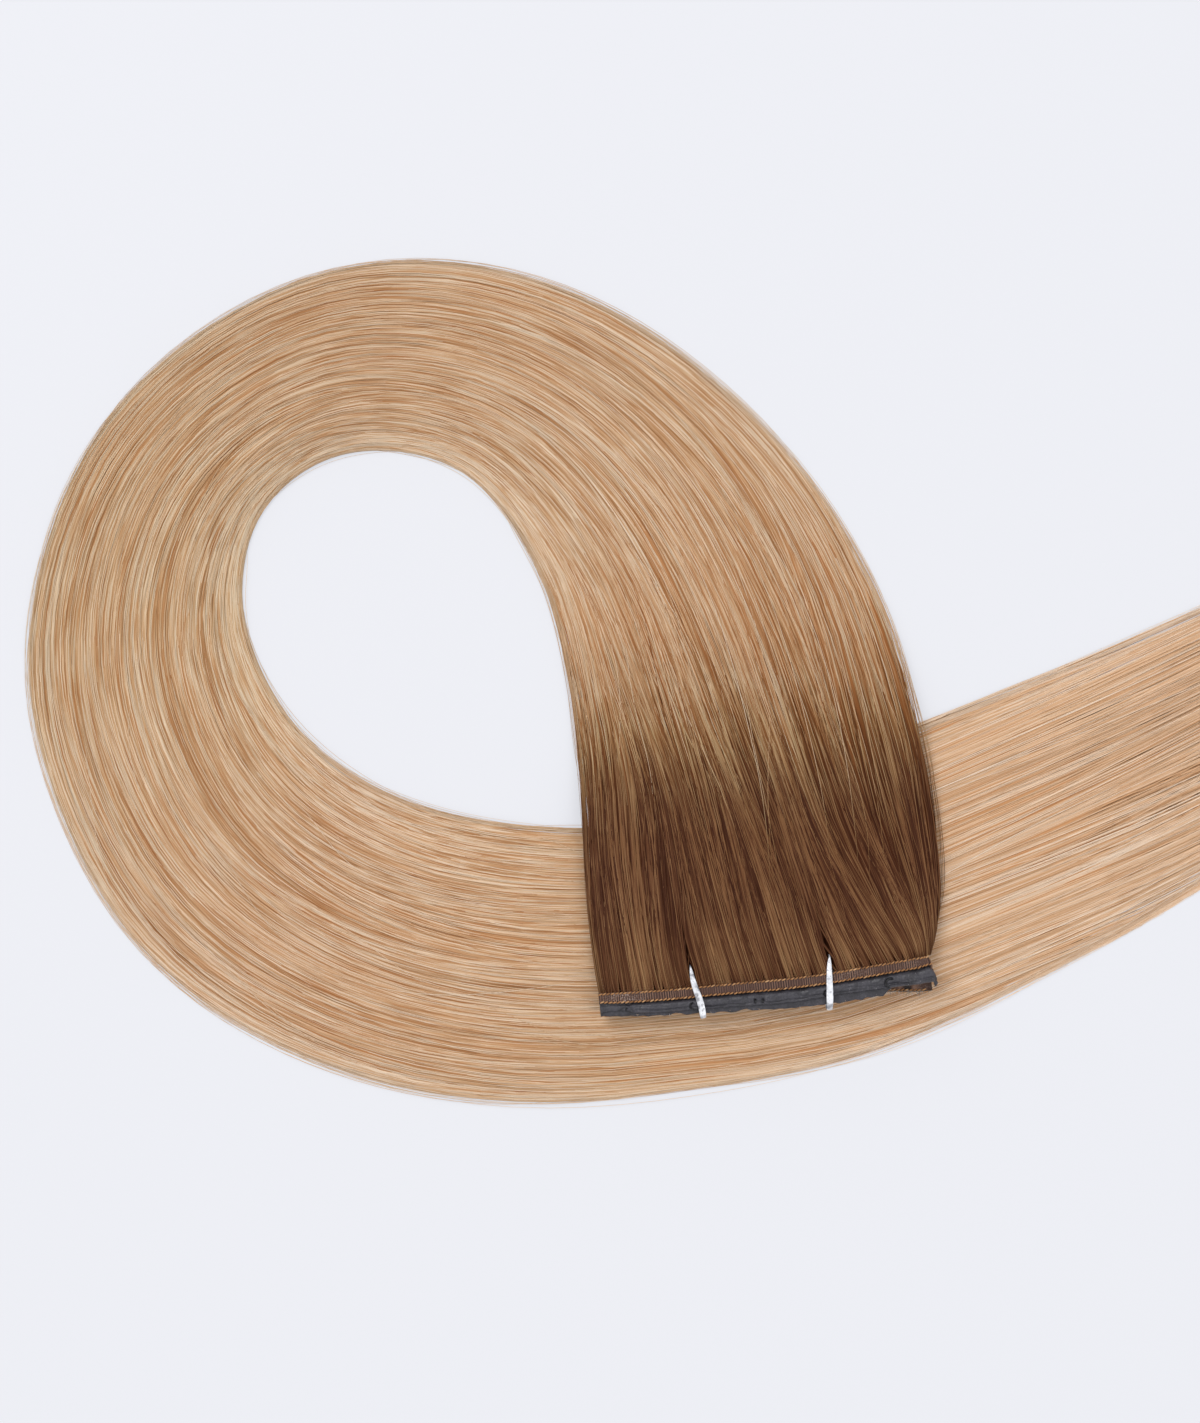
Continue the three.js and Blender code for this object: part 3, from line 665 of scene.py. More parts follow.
def hair_core():
    """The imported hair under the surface, as one closed form that thins out before the tips."""
    tt = np.concatenate([np.linspace(0.02, 4.5, 44)[:-1], np.linspace(4.5, 17.5, 86)[:-1], np.linspace(17.5, 24.6, 25)])
    pp = np.linspace(0.014, 0.986, 84)
    T, P = np.meshgrid(tt, pp, indexing="ij")
    thin = smooth((T - 22.2) / 2.4)
    reach = end_rng.uniform(0.45, 1.0, len(pp)) * smooth(np.minimum(pp, 1 - pp) / 0.12) * 0.55 + 0.45  # a ragged end
    T = np.where(T > 20, 20 + (T - 20) * reach[None], T)
    S = along_mm(T)
    P = 0.5 + (P - 0.5) * (1 - 0.12 * thin)
    rough = rng.normal(0, 1, len(pp))[None] * (0.5 + 0.5 * np.sin(0.6 * T + rng.uniform(0, 6.28, len(pp))[None]))
    depth = 0.50 - 0.18 * smooth((T - 2.5) / 2) - 0.06 * smooth((T - 16.5) / 2) + 0.04 * rough + 0.9 * (1 - smooth(T / 0.35))
    depth = np.maximum(depth, 0.20) + thin * 0.8 * THICK(T)
    x, y, z = hank_point(T, P, depth, 0.12)
    floor = np.maximum(0, BI(T)) * (1 - P) + np.maximum(0, BO(T)) * P + 0.16
    # dark: painted shade in the cut of each parting
    dark = np.zeros_like(T)
    for tie in TIES:
        off, up = parting(x, y, tie)
        cut = np.exp(-(off / 0.75) ** 2) * (T < 3) * np.where(up < 0, 1, 1 - smooth(up / 9)) * smooth((up + 7) / 3)
        z = z - 3.4 * cut
        dark = np.maximum(dark, cut)
    z = np.maximum(z, floor)
    na, nb = T.shape
    top = np.stack([x, y, z], -1)
    nbtm = 12
    f = np.linspace(1, 0, nbtm)[None]
    btm = top[:, :1] + (top[:, -1:] - top[:, :1]) * f[..., None]
    btm[..., 2] = np.maximum(0, BI(tt))[:, None] * (1 - f) + np.maximum(0, BO(tt))[:, None] * f + 0.08
    ring = np.concatenate([top, btm], 1)
    nr = ring.shape[1]
    idx = np.arange(na * nr).reshape(na, nr)
    quads = np.stack([idx[:-1], idx[1:], np.roll(idx[1:], -1, 1), np.roll(idx[:-1], -1, 1)], -1).reshape(-1, 4)

    def cap(row, flip):
        lows = idx[row, nb:][::-1]
        tris = []
        i = j = 0
        while i < nbtm - 1 or j < nb - 1:
            if j == nb - 1 or (i < nbtm - 1 and (i + 1) / (nbtm - 1) <= (j + 1) / (nb - 1)):
                tri = (lows[i], lows[i + 1], idx[row, j])
                i += 1
            else:
                tri = (lows[i], idx[row, j + 1], idx[row, j])
                j += 1
            tris.append(tri[::-1] if flip else tri)
        return tris

    tris = cap(0, True) + cap(na - 1, False)
    u = np.repeat((along_mm(tt) / 620)[:, None], nr, 1)
    v = np.concatenate([np.linspace(0.0, 0.86, nb), np.linspace(0.88, 0.99, nbtm)])[None].repeat(na, 0)
    uv = np.stack([u, v], -1).reshape(-1, 2)[np.concatenate([quads.ravel(), np.asarray(tris).ravel()])]
    q = uv[: quads.size].reshape(-1, 4, 2)
    wrap = (q[..., 1].max(1) - q[..., 1].min(1)) > 0.5
    sub = q[wrap]
    sub[..., 1] = np.where(sub[..., 1] < 0.5, 0.998, sub[..., 1])
    q[wrap] = sub
    uv[: quads.size] = q.reshape(-1, 2)
    # the under hair is painted darker along the parting above each tie (painted shade in the cut), darker near the
    # roots and paler where it thins out
    tone = 0.46 + 0.03 * shade_big(P, S) + 0.03 * shade_fine(P, S) + 0.03 * rough - 0.10 * (1 - smooth((S - 40) / 50)) - 0.36 * dark + 0.16 * thin
    tone = np.concatenate([tone, np.full((na, nbtm), 0.44)], 1)
    al = np.concatenate([S, along_mm(tt)[:, None].repeat(nbtm, 1)], 1).clip(0, 640)
    ob = build_mesh("hair_core", ring.reshape(-1, 3), quads, tris, uv, {"along": al.ravel(), "tone": tone.clip(0, 1).ravel()})
    ob.data.materials.append(body_mat)
    return ob


hair_pieces.append(hair_core())
for ob in hair_pieces:
    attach(ob, "root")
    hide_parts("hair_hank")

# ------------------------------------------------------------------ the folded weft
W0, W1 = HANK[0, 0:2], HANK[0, 2:4]
FOLD = float(np.hypot(*(W1 - W0)))
AL = (W1 - W0) / FOLD
DN = np.array([AL[1], -AL[0]])
INSET = (LAYER_PITCH / 2 + BAND_T / 2) / FOLD
TOP_MID = STACK_BASE + LAYER_PITCH * 4 + BAND_T / 2


def weft_xyz(f, d, z):
    """A point of the weft: share of its length, distance from the hair's root line, height. The right end is cut aslant."""
    f = f + 0.003 * (np.minimum(d, 6.0) - 3.5) * smooth((f - 0.955) / 0.045)
    a = f * FOLD
    return np.stack(np.broadcast_arrays(W0[0] + AL[0] * a + DN[0] * d, W0[1] + AL[1] * a + DN[1] * d - sag_at(f), z), -1)


def slip_of(k, f):
    left, mid, right = LAYERS[k][:3]
    return np.maximum(0, left * (1 - f) * (1 - 2 * f) + mid * 4 * f * (1 - f) + right * f * (2 * f - 1))


def strip_of(k, f):
    return mix(LAYERS[k][3], LAYERS[k][4], f)


def row_gap(f):
    """The two rows of stitches draw together at the weft's ends."""
    return ROW_GAP * (1 - 0.13 * smooth((0.05 - f) / 0.05) - 0.18 * smooth((f - 0.94) / 0.06))


def weft_run(stops, fold_stops=9):
    """Stations from the top layer's free end, to and fro, to the bottom layer's free end, one row each:
    share, height of the middle, direction of the outer face, slip, strip width, layer, way along the run."""
    rows = []
    for k in range(5):
        z = TOP_MID - k * LAYER_PITCH
        right = k % 2 == 0
        first, last = (0.002 if k == 0 else INSET), (0.985 if k == 4 else 1 - INSET)
        a, b = (first, last) if right else (1 - INSET, INSET)
        for f in np.linspace(a, b, stops[k] + 1):
            rows.append((f, z, 0, 1 if right else -1, slip_of(k, f), strip_of(k, f), k))
        if k == 4:
            break
        sign = 1 if right else -1
        end = 1 - INSET if right else INSET
        for j in range(1, fold_stops):
            g = j / fold_stops
            c, s = math.cos(math.pi * g), math.sin(math.pi * g)
            rows.append((end + sign * s * LAYER_PITCH / 2 / FOLD, z - LAYER_PITCH / 2 + c * LAYER_PITCH / 2, s, sign * c,
                         mix(slip_of(k, end), slip_of(k + 1, end), g), mix(strip_of(k, end), strip_of(k + 1, end), g), k + g))
    rows = np.array(rows)
    way = np.hypot(np.diff(rows[:, 0]) * FOLD, np.diff(rows[:, 1]))
    return np.column_stack([rows, np.concatenate([[0], np.cumsum(way)])])


def band_mesh(name, run, d, h, extra):
    """A closed band along the run. d, h: distance from the root line and height off the middle, per station and
    ring point, going over the outer face and back along the inner one."""
    f, z, nx, nz, slip = (run[:, i, None] for i in range(5))
    pts = weft_xyz(f + nx * h / FOLD, d + slip, z + nz * h)
    n, m = d.shape
    idx = np.arange(n * m).reshape(n, m)
    quads = np.stack([idx[:-1], np.roll(idx[:-1], -1, 1), np.roll(idx[1:], -1, 1), idx[1:]], -1).reshape(-1, 4)
    tris = []
    half = m // 2
    for row, flip in ((0, False), (n - 1, True)):
        ring = idx[row]
        for j in range(half):
            a, b, c, e = ring[j], ring[j + 1] if j + 1 < half else ring[half], ring[m - 1 - j], ring[max(m - 2 - j, half)]
            for tri in ((a, b, c), (b, e, c)):
                if len(set(tri)) == 3:
                    tris.append(tri[::-1] if not flip else tri)
    # the map: one lane per layer
    layer = np.minimum(np.floor(run[:, 6] + 1e-6), 4).astype(int)
    start = np.array([run[layer == k, 7].min() for k in range(5)])
    uvq = np.zeros((n - 1, m, 4, 2))
    lane = layer[:-1, None]
    for c, (ds, dj) in enumerate(((0, 0), (0, 1), (1, 1), (1, 0))):
        way = run[ds:n - 1 + ds, 7]
        uvq[:, :, c, 0] = (way - start[layer[:-1]])[:, None] / 73.5
        uvq[:, :, c, 1] = (lane + (np.arange(m)[None] + dj) / m * 0.9 + 0.03) * 0.19
    uvt = np.zeros((len(tris), 3, 2))
    uvt[:] = np.array([(0.01, 0.962), (0.03, 0.962), (0.01, 0.985)])
    uv = np.concatenate([uvq.reshape(-1, 2), uvt.reshape(-1, 2)])
    return build_mesh(name, pts.reshape(-1, 3), quads, tris, uv, {k: np.broadcast_to(v, d.shape).ravel() for k, v in extra.items()})


def ripple(count, low, high):
    """A random rippled line over millimetres, about unit size."""
    k = 2 * np.pi / rng.uniform(low, high, count)
    ph = rng.uniform(0, 2 * np.pi, count)
    return lambda a: sum(np.sin(x * a + y) for x, y in zip(k, ph)) * math.sqrt(2 / count)


# --- the seam: hair ends sewn flat between two rows of stitches
run = weft_run((400, 50, 50, 50, 130))
n_top = 11
v = np.concatenate([np.linspace(0, 1, n_top), np.linspace(1, 0, n_top)])
low_side = np.arange(2 * n_top) >= n_top
f = run[:, 0, None]
a_mm = f * FOLD
d_a, d_b = 0.10 + 0 * f, ROW_A + row_gap(f) + 0.20
d = d_a + (d_b - d_a) * v[None]
round_edge = 0.35 + 0.65 * (1 - np.abs(2 * v - 1) ** 7) ** 0.5
tick_a, tick_b = ripple(9, 0.32, 0.62), ripple(6, 0.5, 1.4)
ribs = 0.040 * np.tanh(1.4 * tick_a(a_mm + 0.10 * np.sin(3 * v[None]))) + 0.02 * tick_b(a_mm)
ribs = ribs * (1 - np.abs(2 * v - 1) ** 5)[None]
dimple = -0.06 * (np.exp(-((d - ROW_A) / 0.16) ** 2) + np.exp(-((d - ROW_A - row_gap(f)) / 0.16) ** 2))
h = 0.33 * round_edge[None] * np.where(low_side, -1, 1)[None] + np.where(low_side[None], 0, ribs + dimple)
# pale marks on the seam, most near its left end and at two places further right
pale_marks = np.exp(-((a_mm - 5.6) / 3.6) ** 2) + 0.35 * np.exp(-((a_mm - 52) / 5) ** 2) + 0.3 * np.exp(-((a_mm - 66) / 3) ** 2)
seam = band_mesh("seam_visual", run, d, h, {"tick": 0.5 + 0.25 * tick_a(a_mm) + 0 * v[None], "pale_marks": pale_marks + 0 * v[None]})

m = Mat("sewn_hair_ends")
# streaks keyed to the ribs: the sewn ends' own streaky colour, with painted shade between the ribs and painted light on
# them
streak = m.ramp(m.attr("tick"), [(0.1, srgb(28, 16, 12)), (0.5, srgb(74, 47, 36)), (0.9, srgb(140, 104, 84))])
grain = m.noise(m.place(), 5200.0, 3.0, 0.6)
col = m.mix(streak, m.grey(grain, [(0.3, 0.62), (0.7, 1.24)]), 1.0, "MULTIPLY")
# mixed to a pale grey-pink over the pale marks, broken up by noise
mask = m.math("MULTIPLY", m.attr("pale_marks"), m.grey(m.noise(m.place(), 3400.0, 3.0), [(0.50, 0.0), (0.72, 0.7)]))
m.link(m.mix(col, srgb(196, 176, 164), mask), m.bsdf.inputs["Base Color"])
m.link(m.grey(grain, [(0.3, 0.5), (0.7, 0.66)]), m.bsdf.inputs["Roughness"])
m.bsdf.inputs["Specular IOR Level"].default_value = 0.35
m.bump(grain, 0.00008, 0.6)
seam.data.materials.append(m.m)


# --- the stitches
def stitch_row(k, d_of, f0, f1, pitch=0.87):
    """Short slanted stitches along a row of layer k, each rising out of the seam and going down again."""
    a = np.arange(f0 * FOLD, f1 * FOLD, pitch)
    a = a + rng.normal(0, 0.04, len(a))
    g = np.linspace(-1, 1, 9)[None]
    half = rng.uniform(0.36, 0.43, len(a))[:, None]
    slant = rng.uniform(0.12, 0.20, len(a))[:, None]
    am = a[:, None] + half * g
    fm = am / FOLD
    dm = d_of(fm) + slant * -g + rng.normal(0, 0.02, len(a))[:, None] + slip_of(k, fm)
    z = TOP_MID - k * LAYER_PITCH + 0.26 + 0.17 * (1 - g ** 2) - 0.10 * np.abs(g) ** 3
    r = rng.uniform(0.145, 0.175, len(a))[:, None] * (1 - 0.35 * np.abs(g) ** 2)
    return weft_xyz(fm, dm, z), r + 0 * g, rng.normal(0.5, 0.2, len(a))[:, None] + 0.12 * g


rows = [
    stitch_row(0, lambda f: ROW_A + 0 * f, 0.006, 0.994),
    stitch_row(0, lambda f: ROW_A + row_gap(f), 0.009, 0.997),
    stitch_row(4, lambda f: ROW_A + 0 * f, 0.86, 0.975),
    stitch_row(4, lambda f: ROW_A + row_gap(f), 0.84, 0.975),
]
path, rad, tone = (np.concatenate([r[i] for r in rows]) for i in range(3))
thread = tubes("stitches", path, rad, {"tone": tone.clip(0, 1)}, sides=7)
m = Mat("thread")
twist = m.noise(m.place(), 6500.0, 2.0)
col = m.ramp(m.attr("tone"), [(0.0, srgb(118, 79, 46)), (0.5, srgb(166, 117, 72)), (1.0, srgb(204, 160, 116))])
m.link(m.mix(col, m.grey(twist, [(0.3, 0.78), (0.7, 1.15)]), 1.0, "MULTIPLY"), m.bsdf.inputs["Base Color"])
m.bsdf.inputs["Roughness"].default_value = 0.55
m.bsdf.inputs["Specular IOR Level"].default_value = 0.35
m.bump(twist, 0.00006, 0.5)
thread.data.materials.append(m.m)

# --- the backing strip: soft dark tape with a rolled lower edge, dents, creases and fastening holes
TOP_EDGE = np.array([  # lower edge of the top layer: share along, distance from the root line
    (0.0, 4.15), (0.03, 3.98), (0.06, 3.92), (0.083, 4.05), (0.10, 4.55), (0.14, 4.72), (0.22, 4.80), (0.32, 4.85), (0.45, 5.12),
    (0.56, 5.20), (0.66, 5.02), (0.72, 4.95), (0.79, 5.15), (0.86, 5.30), (0.93, 5.55), (1.0, 5.68),
])
NOTCHES = ((0.224, 0.010, 0.55), (0.427, 0.009, 0.50), (0.60, 0.004, 0.25), (0.79, 0.006, 0.3))  # place, half width, depth
HOLES = (  # place along, radius, middle of the open arc in degrees from the right end towards the lower edge, half arc, half width
    (6.0, 0.70, 170, 70, 0.15), (19.4, 0.70, 180, 90, 0.16), (33.1, 0.95, 8, 22, 0.27), (33.1, 0.95, 178, 22, 0.27),
    (47.3, 0.75, 180, 60, 0.17), (60.4, 1.10, 205, 95, 0.23),
)
CREASES = (  # from share, width place, to share, width place, depth, width
    (0.085, 0.10, 0.10, 0.95, 0.30, 0.22), (0.11, 0.40, 0.20, 0.52, 0.09, 0.12), (0.15, 0.70, 0.26, 0.78, 0.10, 0.12),
    (0.10, 0.80, 0.16, 0.62, 0.10, 0.10), (0.31, 0.80, 0.44, 0.84, 0.12, 0.11), (0.38, 0.60, 0.46, 0.66, 0.05, 0.15),
    (0.50, 0.84, 0.63, 0.88, 0.12, 0.11), (0.60, 0.60, 0.67, 0.84, 0.09, 0.14), (0.72, 0.86, 0.86, 0.84, 0.10, 0.10),
    (0.73, 0.50, 0.82, 0.70, 0.11, 0.14), (0.84, 0.74, 0.93, 0.60, 0.12, 0.14), (0.90, 0.86, 0.985, 0.70, 0.14, 0.14),
)
run = weft_run((460, 60, 60, 60, 60))
n_top = 21
v = np.concatenate([np.linspace(0, 1, n_top), np.linspace(1, 0, n_top)])
low_side = (np.arange(2 * n_top) >= n_top)[None]
f, layer = run[:, 0, None], run[:, 6, None]
a_mm = f * FOLD
tear, fray = ripple(9, 1.2, 6.0), ripple(9, 0.35, 1.1)
d_a = ROW_A + row_gap(f) + 0.24
edge_top = np.interp(f, TOP_EDGE[:, 0], TOP_EDGE[:, 1]) + 0.025 * tear(a_mm) + 0.004 * fray(a_mm)
edge_low = 2.7 + run[:, 5, None] + 0.09 * tear(a_mm * 1.1 + 40 * np.round(layer)) + 0.015 * fray(a_mm + 17 * np.round(layer))
for at, half, deep in NOTCHES:
    edge_low = edge_low - deep * np.exp(-((f - at - 0.0015 * np.round(layer)) / half) ** 4)
edge_low = edge_low - (layer > 0.8) * (layer < 3.5) * 1.4 * smooth((f - 0.845) / 0.02)
edge_low = mix(edge_low, d_a + 0.18, (layer > 3.5) * smooth((f - 0.80) / 0.03))
on_top = 1 - smooth(layer / 0.8)
d_b = np.where(layer < 0.999, mix(edge_low, edge_top, on_top), edge_low)
d = d_a + (d_b - d_a) * v[None]
upper = np.interp(v, (0, 0.07, 0.15, 0.24, 0.40, 0.60, 0.78, 0.90, 0.96, 1), (-0.26, -0.18, 0.02, 0.24, 0.36, 0.34, 0.27, 0.22, 0.05, -0.22))
lip = 0.20 * smooth((f - 0.80) / 0.08) * np.exp(-((v[None] - 0.92) / 0.10) ** 2)
stub = (0.34 + 0.10 * (1 - v[None])) * (1 - smooth((f - 0.092 + 0.030 * v[None]) / 0.012))
gather = ripple(5, 7.0, 24.0)
crumple = ripple(7, 2.0, 7.0)
detail = lip - stub + 0.065 * crumple(a_mm + 1.3 * v[None]) + 0.018 * tear(a_mm * 2.3 + 4 * v[None])
detail = detail - (0.23 + 0.09 * gather(a_mm)) * smooth((f - 0.10) / 0.05) * np.exp(-((v[None] - 0.79 - 0.035 * gather(a_mm * 1.7)) / 0.055) ** 2)
for fa, va, fb, vb, deep, wide in CREASES:
    g = np.clip((f - fa) / (fb - fa), 0, 1)
    far = np.hypot((f - (fa + (fb - fa) * g)) * FOLD, (v[None] - (va + (vb - va) * g)) * (d_b - d_a))
    detail = detail - deep * np.exp(-(far / wide) ** 2)
# the fastening holes' slits: dents, painted dark as painted shade in them
pit_shade = np.zeros_like(detail)
for at, radius, mid_deg, half_deg, wide in HOLES:
    width = strip_of(0, at / FOLD)
    along_h, down_h = a_mm - at, d - (2.7 + 0.58 * width)
    far, turn = np.hypot(along_h, down_h), np.degrees(np.arctan2(down_h, along_h))
    arc = np.abs((turn - mid_deg + 180) % 360 - 180)
    slit = np.exp(-((far - radius * 0.86) / wide) ** 2) * (1 - smooth((arc - half_deg) / 18))
    pit_shade = np.maximum(pit_shade, 0.60 * slit)
    detail = detail - 0.10 * smooth(1.15 - far / radius) + 0.05 * np.exp(-((far - radius * 1.25) / 0.18) ** 2)
top_face = on_top * (layer < 0.999)
groove = smooth((f - 0.10) / 0.05) * np.exp(-((v[None] - 0.79 - 0.035 * gather(a_mm * 1.7)) / 0.045) ** 2)
# painted shade: darker under the seam's edge, along the groove and along the crumple's step near the left end
shade = np.maximum(0.34 * (1 - smooth((v[None] - 0.04) / 0.16)), 0.30 * groove * (0.7 + 0.3 * gather(a_mm))) + 0 * f
shade = np.maximum(shade, 0.36 * np.exp(-((f - 0.088 + 0.030 * v[None]) / 0.008) ** 2))
h_top = upper[None] + (detail - pit_shade) * top_face
h = np.where(low_side, -0.33, np.maximum(h_top, -0.26)) * np.ones_like(d)
strip = band_mesh("strip_visual", run, d, h, {"dusty": 0.5 + 0.2 * tear(a_mm) + 0.3 * (v[None] > 0.93) + 0.35 * smooth((f - 0.66) / 0.1) * (v[None] > 0.7), "pit_shade": np.maximum(pit_shade, shade) * top_face})

m = Mat("soft_tape")
grain = m.noise(m.place(), 2400.0, 4.0, 0.6)
cloud = m.noise(m.place(), 420.0, 2.0)
col = m.ramp(grain, [(0.28, srgb(42, 41, 46)), (0.55, srgb(57, 55, 61)), (0.8, srgb(76, 73, 79))])
col = m.mix(col, m.grey(cloud, [(0.3, 0.62), (0.7, 1.34)]), 1.0, "MULTIPLY")
speck = m.math("MULTIPLY", m.grey(m.noise(m.place(), 3600.0, 1.0), [(0.68, 0.0), (0.76, 1.0)]), m.grey(m.attr("dusty"), [(0.45, 0.0), (0.95, 0.8)]))
col = m.mix(col, srgb(150, 146, 148), speck)
# painted shade: the slits, the band under the seam's edge, the groove and the crumple's step darken towards near black
col = m.mix(col, srgb(16, 15, 18), m.grey(m.attr("pit_shade"), [(0.12, 0.0), (0.42, 0.9)]))
m.link(col, m.bsdf.inputs["Base Color"])
m.link(m.grey(cloud, [(0.3, 0.32), (0.7, 0.48)]), m.bsdf.inputs["Roughness"])
m.bsdf.inputs["Specular IOR Level"].default_value = 0.42
m.bump(grain, 0.00005, 0.6)
strip.data.materials.append(m.m)


# --- loose fibres at the torn edges
def fibres(n):
    late = rng.uniform(0, 1, n) < 0.62
    k = np.where(late, 4, rng.integers(1, 4, n))
    fm = np.where(late, rng.uniform(0.83, 0.975, n), rng.uniform(0.08, 0.95, n))
    g = np.linspace(0, 1, 9)[None]
    start = np.array([ROW_A + row_gap(a) + 0.15 if b else 2.7 + strip_of(c, a) - 0.35 for a, b, c in zip(fm, late, k)])
    start = start + np.array([slip_of(c, a) for a, c in zip(fm, k)])
    reach = rng.uniform(0.5, 1.4, n) * np.where(late, 1.1, 0.7)
    turn = rng.uniform(-1.3, 1.3, n)[:, None] + rng.normal(0, 0.7, n)[:, None] * g
    am = (fm * FOLD)[:, None] + np.cumsum(np.sin(turn), 1) * reach[:, None] / 9
    dm = start[:, None] + np.cumsum(np.cos(turn), 1) * reach[:, None] / 9
    z = (TOP_MID - k * LAYER_PITCH + 0.36)[:, None] + 0.25 * np.sin(np.pi * g) * rng.uniform(0, 1, n)[:, None] - 0.25 * g ** 2
    r = rng.uniform(0.032, 0.052, n)[:, None] * (1 - 0.5 * g ** 2)
    return weft_xyz(am / FOLD, dm, z), r, rng.uniform(0.2, 0.9, n)[:, None] + 0 * g


path, rad, tone = fibres(72)
fuzz = tubes("loose_fibres", path, rad, {"tone": tone}, sides=4)
m = Mat("fibre")
col = m.ramp(m.attr("tone"), [(0.0, srgb(120, 92, 70)), (0.5, srgb(176, 158, 142)), (1.0, srgb(214, 208, 204))])
m.link(m.mix(col, m.grey(m.noise(m.place(), 3000.0), [(0.3, 0.85), (0.7, 1.1)]), 1.0, "MULTIPLY"), m.bsdf.inputs["Base Color"])
m.bsdf.inputs["Roughness"].default_value = 0.6
fuzz.data.materials.append(m.m)

for ob, slot, node in ((seam, "seam", "seam_band"), (thread, "seam", "seam_band"), (strip, "strip", "backing_strip"), (fuzz, "strip", "backing_strip")):
    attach(ob, "root")
    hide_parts(node)

# ------------------------------------------------------------------ the ties: crinkled foil tape
foil = Mat("foil")
crease = foil.noise(foil.place(), 1500.0, 3.0, 0.6)
grey_shade_patch = foil.noise(foil.place(), 620.0, 2.0, 0.5)
# grey patches painted over the white foil as the shade of its crinkles, and darker still where the crinkle noise is
# low: painted shade in the creases
col = foil.ramp(grey_shade_patch, [(0.36, srgb(150, 150, 156)), (0.50, srgb(226, 227, 232)), (0.7, srgb(246, 246, 250))])
col = foil.mix(col, foil.grey(crease, [(0.33, 0.55), (0.45, 1.0)]), 1.0, "MULTIPLY")
foil.link(col, foil.bsdf.inputs["Base Color"])
foil.link(foil.grey(grey_shade_patch, [(0.3, 0.5), (0.7, 0.3)]), foil.bsdf.inputs["Roughness"])
foil.bsdf.inputs["Metallic"].default_value = 0.25
foil.bump(crease, 0.00018, 0.8)


def tie_band(name, bow):
    """A closed band round the stack: over the top, down past the strip, back under it and up through the hair."""
    (hx, hy), (sx, sy), _ = TIES[name]
    length = math.hypot(sx - hx, sy - hy)
    ux, uy = (sx - hx) / length, (sy - hy) / length
    low, high, rr = STACK_BASE - 0.50, TOP_MID + BAND_T / 2 + 0.36, 0.95
    pts = []
    for cx, cz, a0 in ((length - rr, high - rr, 90), (length - rr, low + rr, 0), (rr, low + rr, -90), (rr, high - rr, -180)):
        for g in np.linspace(0, 1, 14):
            ang = math.radians(a0 - 90 * g)
            pts.append((cx + rr * math.cos(ang), cz + rr * math.sin(ang)))
    pts = np.array(pts + [pts[0]])
    way = np.concatenate([[0], np.cumsum(np.hypot(*np.diff(pts, axis=0).T))])
    n = 220
    at = np.linspace(0, way[-1], n, endpoint=False)
    ax, az = np.interp(at, way, pts[:, 0]), np.interp(at, way, pts[:, 1])
    tx, tz = np.roll(ax, -1) - np.roll(ax, 1), np.roll(az, -1) - np.roll(az, 1)
    ln = np.hypot(tx, tz)
    nx, nz = -tz / ln, tx / ln
    if (nz * (az - (low + high) / 2)).sum() < 0:
        nx, nz = -nx, -nz
    on_top = az > (low + high) / 2
    share = np.clip(ax / length, 0, 1)
    width = np.interp(share, [0, 0.06, 0.14, 0.28, 0.5, 0.75, 0.93, 1], [0.26, 0.55, 0.86, 1.12, 1.30, 1.40, 1.34, 1.15])
    width = np.where(on_top, width, np.interp(share, [0, 0.15, 0.5, 1], [0.3, 0.9, 1.3, 1.15]))
    width = np.convolve(np.concatenate([width[-4:], width, width[:4]]), np.ones(9) / 9, "valid")
    side = bow * np.sin(2 * np.pi * share) * 0.5 * on_top
    m = 20
    th = 2 * np.pi * np.arange(m) / m
    cs = np.sign(np.cos(th)) * np.abs(np.cos(th)) ** 0.55
    sn = np.sign(np.sin(th)) * np.abs(np.sin(th)) ** 0.9
    w = side[:, None] + width[:, None] / 2 * cs[None]
    crink = ripple(8, 0.5, 1.7)
    crink2 = ripple(8, 0.7, 2.2)
    fade = np.sin(np.pi * np.arange(n) / n)[:, None] ** 0.5
    fold = 0.055 * np.tanh(1.5 * crink(at[:, None] + 0.9 * w)) + 0.04 * crink2(at[:, None] * 0.8 - 1.6 * w)
    hgt = 0.075 * sn[None] + 0.10 * (1 - cs[None] ** 2) + fold * fade
    px, pz = ax[:, None] + nx[:, None] * hgt, az[:, None] + nz[:, None] * hgt
    x = hx + ux * px + uy * w
    y = hy + uy * px - ux * w
    idx = np.arange(n * m).reshape(n, m)
    nxt = np.roll(idx, -1, 0)
    quads = np.stack([idx, np.roll(idx, -1, 1), np.roll(nxt, -1, 1), nxt], -1).reshape(-1, 4)
    k, j = np.meshgrid(np.arange(n), np.arange(m), indexing="ij")
    uv = np.stack([np.stack([(k + a) / n, (j + b) / m], -1) for a, b in ((0, 0), (0, 1), (1, 1), (1, 0))], 2).reshape(-1, 2)
    ob = build_mesh(name + "_visual", np.stack([x, y, pz], -1).reshape(-1, 3), quads, None, uv)
    ob.data.materials.append(foil.m)
    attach(ob, "root")
    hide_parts(name)
    return ob


ties = [tie_band("tie_left", 0.35), tie_band("tie_right", 0.10)]


def turn_out(ob):
    """Turns a closed mesh's faces outwards."""
    me = ob.data
    n = len(me.loop_triangles) or (me.calc_loop_triangles() or len(me.loop_triangles))
    tri = np.zeros(n * 3, np.int32)
    me.loop_triangles.foreach_get("vertices", tri)
    co = np.zeros(len(me.vertices) * 3, np.float32)
    me.vertices.foreach_get("co", co)
    p = co.reshape(-1, 3).astype(float)[tri.reshape(-1, 3)]
    if np.einsum("ij,ij->i", p[:, 0], np.cross(p[:, 1], p[:, 2])).sum() < 0:
        me.flip_normals()
        print("turned", ob.name)


for ob in hair_pieces + [seam, thread, strip, fuzz] + ties:
    turn_out(ob)

